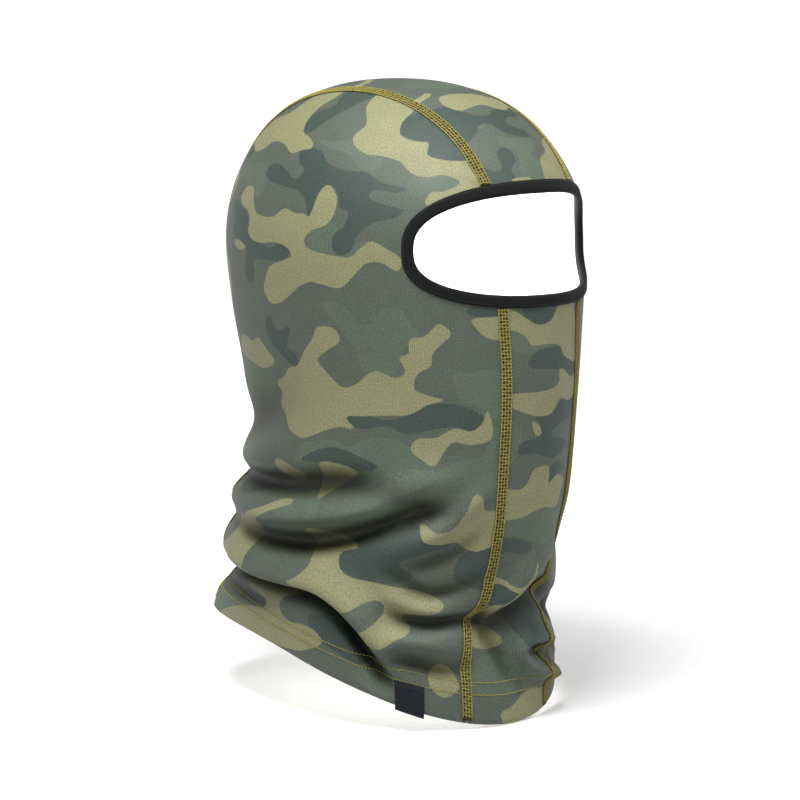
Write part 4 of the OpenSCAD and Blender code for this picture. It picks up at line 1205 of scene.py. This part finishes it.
# %% Sew the seams
LOOPER_END = HEM + HEM_TURN + 1
PAST_HEM = 0.5
crown_brow = brow_level(np.array(CROWN_BROW), BINDING)
crown_at = float(np.degrees(np.arcsin(crown_brow / top_level(CROWN_BROW))))
for side, word in ((RIGHT, "right"), (LEFT, "left")):
    cheek = CHEEK[side]
    face_at = float(eye_edge(phi_at(face_half(cheek, side), cheek), BINDING, -1))
    crown, down = f"{word}_crown_seam", f"{word}_face_seam"
    flat_seam(crown, f"{crown}_cover", crown_line, side, crown_at, 180 - HEM + PAST_HEM)
    flat_seam(down, f"{down}_cover", face_line, side, face_at, HEM - PAST_HEM)
    flat_seam(f"{crown}_inside", f"{crown}_looper", crown_line, side, crown_at,
              180 - LOOPER_END, inside=True)
    flat_seam(f"{down}_inside", f"{down}_looper", face_line, side, face_at,
              LOOPER_END, inside=True)

# %% [markdown]
# ## Eye binding
# The opening's raw edge is wrapped in a soft elastic tape, folded round it and stitched through.
# It is one closed loop: a rounded folded outline carried round the opening on the cloth.

# %% Binding tape
# millimetres between the tape's ribs, along it and across it
RIB_ALONG, RIB_ACROSS = 0.9, 0.8
# gap between a tape and the cloth it wraps
TAPE_GAP = 0.25


def ribbed_tape(name, dark, light):
    """Matt woven tape: fine ribs from two crossed waves, and a little lint."""
    m = new_material(name)
    place = m.read("weave", "Vector")
    u, v = m.axes(place)[:2]
    weave = m.times(m.maths("SINE", m.times(u, 2 * np.pi / RIB_ALONG)),
                    m.maths("SINE", m.times(v, 2 * np.pi / RIB_ACROSS)))
    lint = m.noise(place, 2.0, 4, 0.7)
    share = m.ramp(m.add(m.times(weave, 0.25), m.times(lint, 0.8)), 0, 1)
    return m.look(Base_Color=m.mix(share, dark, light), Roughness=m.add(m.times(lint, 0.2), 0.7),
                  Sheen_Weight=0.02, Specular_IOR_Level=0.12,
                  Normal=m.bump(weave, 0.6, 0.00015, m.bump(lint, 0.3, 0.0003)))


BINDING_TAPE = ribbed_tape("binding_tape", tone(6, 7, 7), tone(20, 22, 22))
LABEL_TAPE = ribbed_tape("label_tape", tone(15, 17, 22), tone(36, 39, 47))


def folded_outline(leg, fold, stack, thick, steps=7):
    """Closed outline of a tape folded round an edge: (distance from the edge, height) by point."""
    middle, radius = -stack / 2, stack / 2 + TAPE_GAP + thick
    a = np.pi / 2 + np.pi * np.arange(steps) / (steps - 1)
    outer = np.column_stack([fold + 0.8 * radius * np.cos(a), middle + radius * np.sin(a)])
    inner_r = radius - thick
    inner = np.column_stack([fold + 0.5 * inner_r * np.cos(a), middle + inner_r * np.sin(a)])
    share = 0.66 * leg + 0.34 * fold
    top = [(leg - 0.12, TAPE_GAP + 0.45 * thick), (leg - 0.5, TAPE_GAP + 0.92 * thick),
           (share, TAPE_GAP + 1.12 * thick)]
    top_in = [(leg, 0.12), (leg - 0.5, 0.2), (share, TAPE_GAP)]
    low, low_in = ([(x, 2 * middle - y) for x, y in side[::-1]] for side in (top, top_in))
    back = np.vstack([top_in, inner, low_in])
    return np.vstack([top, outer, low, back[::-1]])


def carried(name, node, loops, material, along, over, closed):
    """An outline carried along a path: loops is (steps, outline points, 3).

    along and over are the cloth directions of the steps and of the outline's points."""
    steps, size = loops.shape[:2]
    j = np.arange(steps if closed else steps - 1)[:, None]
    i = np.arange(size)[None, :]
    a, b = j * size + i, j * size + (i + 1) % size
    c, d = (j + 1) % steps * size + i, (j + 1) % steps * size + (i + 1) % size
    faces = np.stack([a, b, d, c], -1).reshape(-1, 4)
    if not closed:
        n = np.arange(size // 2 - 1)
        cap = np.stack([n, n + 1, size - 2 - n, size - 1 - n], -1)
        faces = np.concatenate([faces, cap[:, ::-1], cap + (steps - 1) * size])
    u, v = np.meshgrid(along, over, indexing="ij")
    weave = np.stack([u, v, 0 * u], -1).reshape(-1, 3)
    piece = place_mesh(name, loops, outward_faces(loops, faces), [material], None,
                       {"weave": weave})
    stand_for(piece, node)
    return piece


def rim_turns(steps=260, ease=1.4):
    """Turns round the opening, closer together at its flat top and bottom."""
    quarter = np.arange(steps) / steps * 4
    whole, part = np.floor(quarter), quarter % 1
    return np.radians(90) * (whole + np.where(whole % 2 == 0, 1 - (1 - part) ** ease, part**ease))


def rim_loops(outline):
    """Outline carried round the opening: distance outwards is a margin, height an offset."""
    phi, level = eye_outline(rim_turns()[:, None], outline[None, :, 0])
    return cloth(phi, level, np.broadcast_to(outline[None, :, 1], phi.shape))


outline = folded_outline(BINDING, EDGE - 0.6, CLOTH_T, 0.8)
loops = rim_loops(outline)
lengths = arc_length(loops[:, 0])
binding = carried("binding", "eye_binding", loops, BINDING_TAPE,
                  lengths, arc_length(outline), closed=True)
print("binding length (mm):", round(float(lengths[-1])))

# %% [markdown]
# ## Stitch rows
# A row of stitches is one thread that dives in and out of the cloth. A tube whose height rises and
# falls once a stitch gives the row of short dashes and the dark needle holes between them.

# %% Rows on the binding and the hem
STITCH = 1.65
# distance of the binding's row from the tape's edge, and height of the two hem rows
RIM_ROW, LOWER_ROW, UPPER_ROW = 1.2, 9.5, 14.0
# height, depth and radius of the black rows
BLACK_ROW = (0.2, 0.25, 0.26)


def stitch_row(name, node, slot, material, runs, lift=0.34, depth=0.5, radius=0.3):
    """Thread that dips once a stitch: height = lift + 0.8 * depth * (squared-off cosine - 1)."""
    parts = []
    for place, total in runs:
        count = max(int(total / STITCH), 1)
        s = np.linspace(0, total, count * 6 + 1)
        wave = np.cos(2 * np.pi * s / total * count)
        paths, outs = place(s, lift + 0.8 * depth * (power(wave, 0.6) - 1))
        parts.append(tubes(paths[None], outs[None], radius, 6, 0.8))
    points, faces = gather(parts)
    piece = place_mesh(name, points, faces, [material])
    stand_for(piece, node)
    print(name, len(faces), "faces")


def sewn_run(q, line, points, base=0.0):
    """How to place thread along a line of the cloth, and how long the line is."""
    run = arc_length(points)

    def place(s, height):
        return off_cloth(*line(np.interp(s, run, q)), base + height)

    return place, run[-1]


def rim_run():
    """The binding's stitch line, a little in from the tape's edge, round the opening."""
    turn = np.linspace(0, 2 * np.pi, 1500)

    def line(turn):
        return eye_outline(turn, BINDING - RIM_ROW)

    place, total = sewn_run(turn, line, cloth(*line(turn), 1.1), 0.9)
    return place, total - 0.3


def hem_run(first, last, height, samples=400, base=0.0):
    """One run round the hem between two angles at a height above it."""
    phi, level = np.linspace(first, last, samples), HEM + height
    return sewn_run(phi, lambda q: (q, level), smooth_shape(phi, level), base)


def hem_runs(height):
    """Four runs, one on each panel, that stop short of the seams."""
    level, clear = HEM + height, COVER_W / 2 + 0.4

    def at(x):
        return float(phi_at(x, level))

    right, left = face_half(level, RIGHT), face_half(level, LEFT)
    back_in, back_out = at(CROWN_NAPE - clear), at(CROWN_NAPE + clear)
    ends = [(-at(right - clear), at(left - clear)), (at(left + clear), np.pi - back_out),
            (np.pi - back_in, np.pi + back_in), (np.pi + back_out, 2 * np.pi - at(right + clear))]
    return [hem_run(a, b, height) for a, b in ends]


stitch_row("binding_row", "binding_stitch", "black_thread", BLACK, [rim_run()], *BLACK_ROW)
stitch_row("hem_row_upper", "hem_stitch_upper", "olive_thread", OLIVE, hem_runs(UPPER_ROW))
stitch_row("hem_row_lower", "hem_stitch_lower", "olive_thread", OLIVE, hem_runs(LOWER_ROW))


def hem_looper():
    """The looper thread inside the hem: zigzags between the two rows, with a line along each."""
    low, high = HEM + LOWER_ROW, HEM + UPPER_ROW
    middle = (low + high) / 2
    phi = np.linspace(0, 2 * np.pi, 3000)
    run = arc_length(smooth_shape(phi, middle))
    steps = int(run[-1] / STITCH / 1.5) * 6 + 1
    q = np.interp(np.linspace(0, run[-1], steps), run, phi)
    swing = 2 / np.pi * np.arcsin(np.sin(2 * np.pi * np.arange(steps) / 6))
    inner = -2 * CLOTH_T - TURN_GAP
    parts = []
    for level, off in ((middle + (high - low) / 2 * swing, 0.55), (low, 0.85), (high, 0.85)):
        paths, outs = off_cloth(q, level, inner - off, -1)
        parts.append(tubes(paths[None], outs[None], LOOPER_R, 4, 0.9))
    piece = place_mesh("hem_row_inside", *gather(parts), [OLIVE])
    stand_for(piece, "hem_looper")


hem_looper()

# %% [markdown]
# ## Label
# A small woven tape label is folded round the hem and caught by one line of stitches. It is blank.

# %% Hem label
# the label's middle and the widths of label and stitches, in degrees round the hem
LABEL_AT, LABEL_WIDE, LABEL_SEWN, LABEL_STEPS = -44, 10.6, 9.6, 24
# the label's leg and the height of its stitches, in millimetres above the hem
LABEL_LEG, LABEL_ROW = 9.6, 7.6
label_phi = np.radians(LABEL_AT + np.linspace(-0.5, 0.5, LABEL_STEPS) * LABEL_WIDE)
label_outline = folded_outline(LABEL_LEG, -FOLD_R, 2 * CLOTH_T + TURN_GAP, 0.7)
label_loops = cloth(label_phi[:, None], HEM + label_outline[None, :, 0], label_outline[None, :, 1])
label = carried("label", "hem_label", label_loops, LABEL_TAPE,
                np.linspace(0, 14, LABEL_STEPS), np.linspace(0, 30, len(label_outline)),
                closed=False)
sewn = np.radians(LABEL_AT + np.array([-0.5, 0.5]) * LABEL_SEWN)
stitch_row("label_row", "label_stitch", "black_thread", BLACK,
           [hem_run(*sewn, LABEL_ROW, 60, 0.95)], *BLACK_ROW)

# %% [markdown]
# ## Floor, light and camera
# A plain pale floor that curves up all round like a tray keeps the edges of the hood clean. The
# light is soft and comes from above: a near panel over the temple, so the neck falls into shade,
# and weaker ones in front, at the far side and on top. A weak lamp inside the hood keeps the fleece
# as white through the opening as it is by daylight.

# %% Floor and backdrop
FLOOR_GAP, WALL_AT, WALL_BEND = 0.2, 3800, 1500


def plain_white():
    """Matt white board that glows behind the hood and away from it on every side."""
    m = new_material("backdrop")
    place = m.node("ShaderNodeTexCoord", {})["Object"]
    x, y = m.axes(place)[:2]
    behind = m.ramp(m.add(x, y), -0.3, 1.2)
    away = m.maths("SQRT", m.add(m.times(x, x), m.times(y, y)))
    around = m.times(m.ramp(away, 0.8, 2.2), 0.6)
    return m.look(Base_Color=m.mix(m.noise(place, 3.0), tone(196, 196, 196), tone(202, 202, 202)),
                  Roughness=0.95, Emission_Color=(1, 1, 1, 1),
                  Emission_Strength=m.times(m.maths("MAXIMUM", behind, around), 0.9))


floor_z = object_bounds()[0][2] / MM - FLOOR_GAP
bend = np.radians(np.linspace(0, 90, 13))
flat_reach = [0, 400, 900, 1500, 2200, 3000]
reach = np.concatenate([flat_reach, WALL_AT + WALL_BEND * np.sin(bend)])
rise = np.concatenate([np.zeros(len(flat_reach)), WALL_BEND * (1 - np.cos(bend))])
last = len(reach) - 1
col, row = np.meshgrid(np.arange(-last, last + 1), np.arange(-last, last + 1))
ring_no = np.maximum(abs(col), abs(row))
scale = reach[ring_no] / np.maximum(ring_no, 1)
board = np.stack([col * scale, row * scale, floor_z + rise[ring_no]], -1)
backdrop = place_mesh("backdrop", board, grid_faces(*board.shape[:2]), [plain_white()])
print("floor at", round(floor_z, 1))

# %% Camera
AIM, DISTANCE = np.array([-2.0, 2.0, -81.0]), 1600


def turned(place, back, upright=(0, 0, 1.0)):
    """Matrix of an object at a place whose own back points one way and whose top is upright."""
    across = unit(np.cross(upright, back))
    axes = np.column_stack([across, np.cross(back, across), back]).tolist()
    return Matrix([[*row, p] for row, p in zip(axes, place)] + [[0, 0, 0, 1]])


turn, rise = np.radians(45), np.radians(7.3)
back_off = np.array([-np.sin(turn) * np.cos(rise), -np.cos(turn) * np.cos(rise), np.sin(rise)])
lens = bpy.data.cameras.new("view")
lens.lens, lens.sensor_width = 141.84, 36.0
camera = add_object("view", lens)
camera.matrix_world = turned(((AIM + DISTANCE * back_off) * MM).tolist(), back_off)
bpy.context.scene.camera = camera
print("camera at", [round(v, 2) for v in camera.matrix_world.translation])

# %% Lights
def soft_light(name, place, size, strength, aim=(0, 0, -0.06)):
    """A square panel light that faces the hood."""
    lamp = bpy.data.lights.new(name, "AREA")
    lamp.size, lamp.energy = size, strength
    back = unit(np.array(place) - np.array(aim))
    add_object(name, lamp).matrix_world = turned(place, back)


soft_light("key", (-0.50, -0.26, 0.85), 0.42, 20, (0, 0, 0))
soft_light("front", (-0.8, -1.1, 1.5), 0.9, 9)
soft_light("side", (0.7, -1.1, 1.1), 0.7, 13)
soft_light("top", (-0.1, 0.1, 1.9), 0.8, 8)
glow = bpy.data.lights.new("inside", "POINT")
glow.shadow_soft_size, glow.energy = 0.05, 0.9
add_object("inside", glow).location = (0.0, 0.0, -0.03)
world = bpy.data.worlds.new("surround")
bpy.context.scene.world = world
world.use_nodes = True
background = world.node_tree.nodes["Background"].inputs
background["Color"].default_value, background["Strength"].default_value = (1, 1, 1, 1), 0.06
bpy.context.scene.view_settings.view_transform = "Standard"
print("lights:", len(bpy.data.lights))
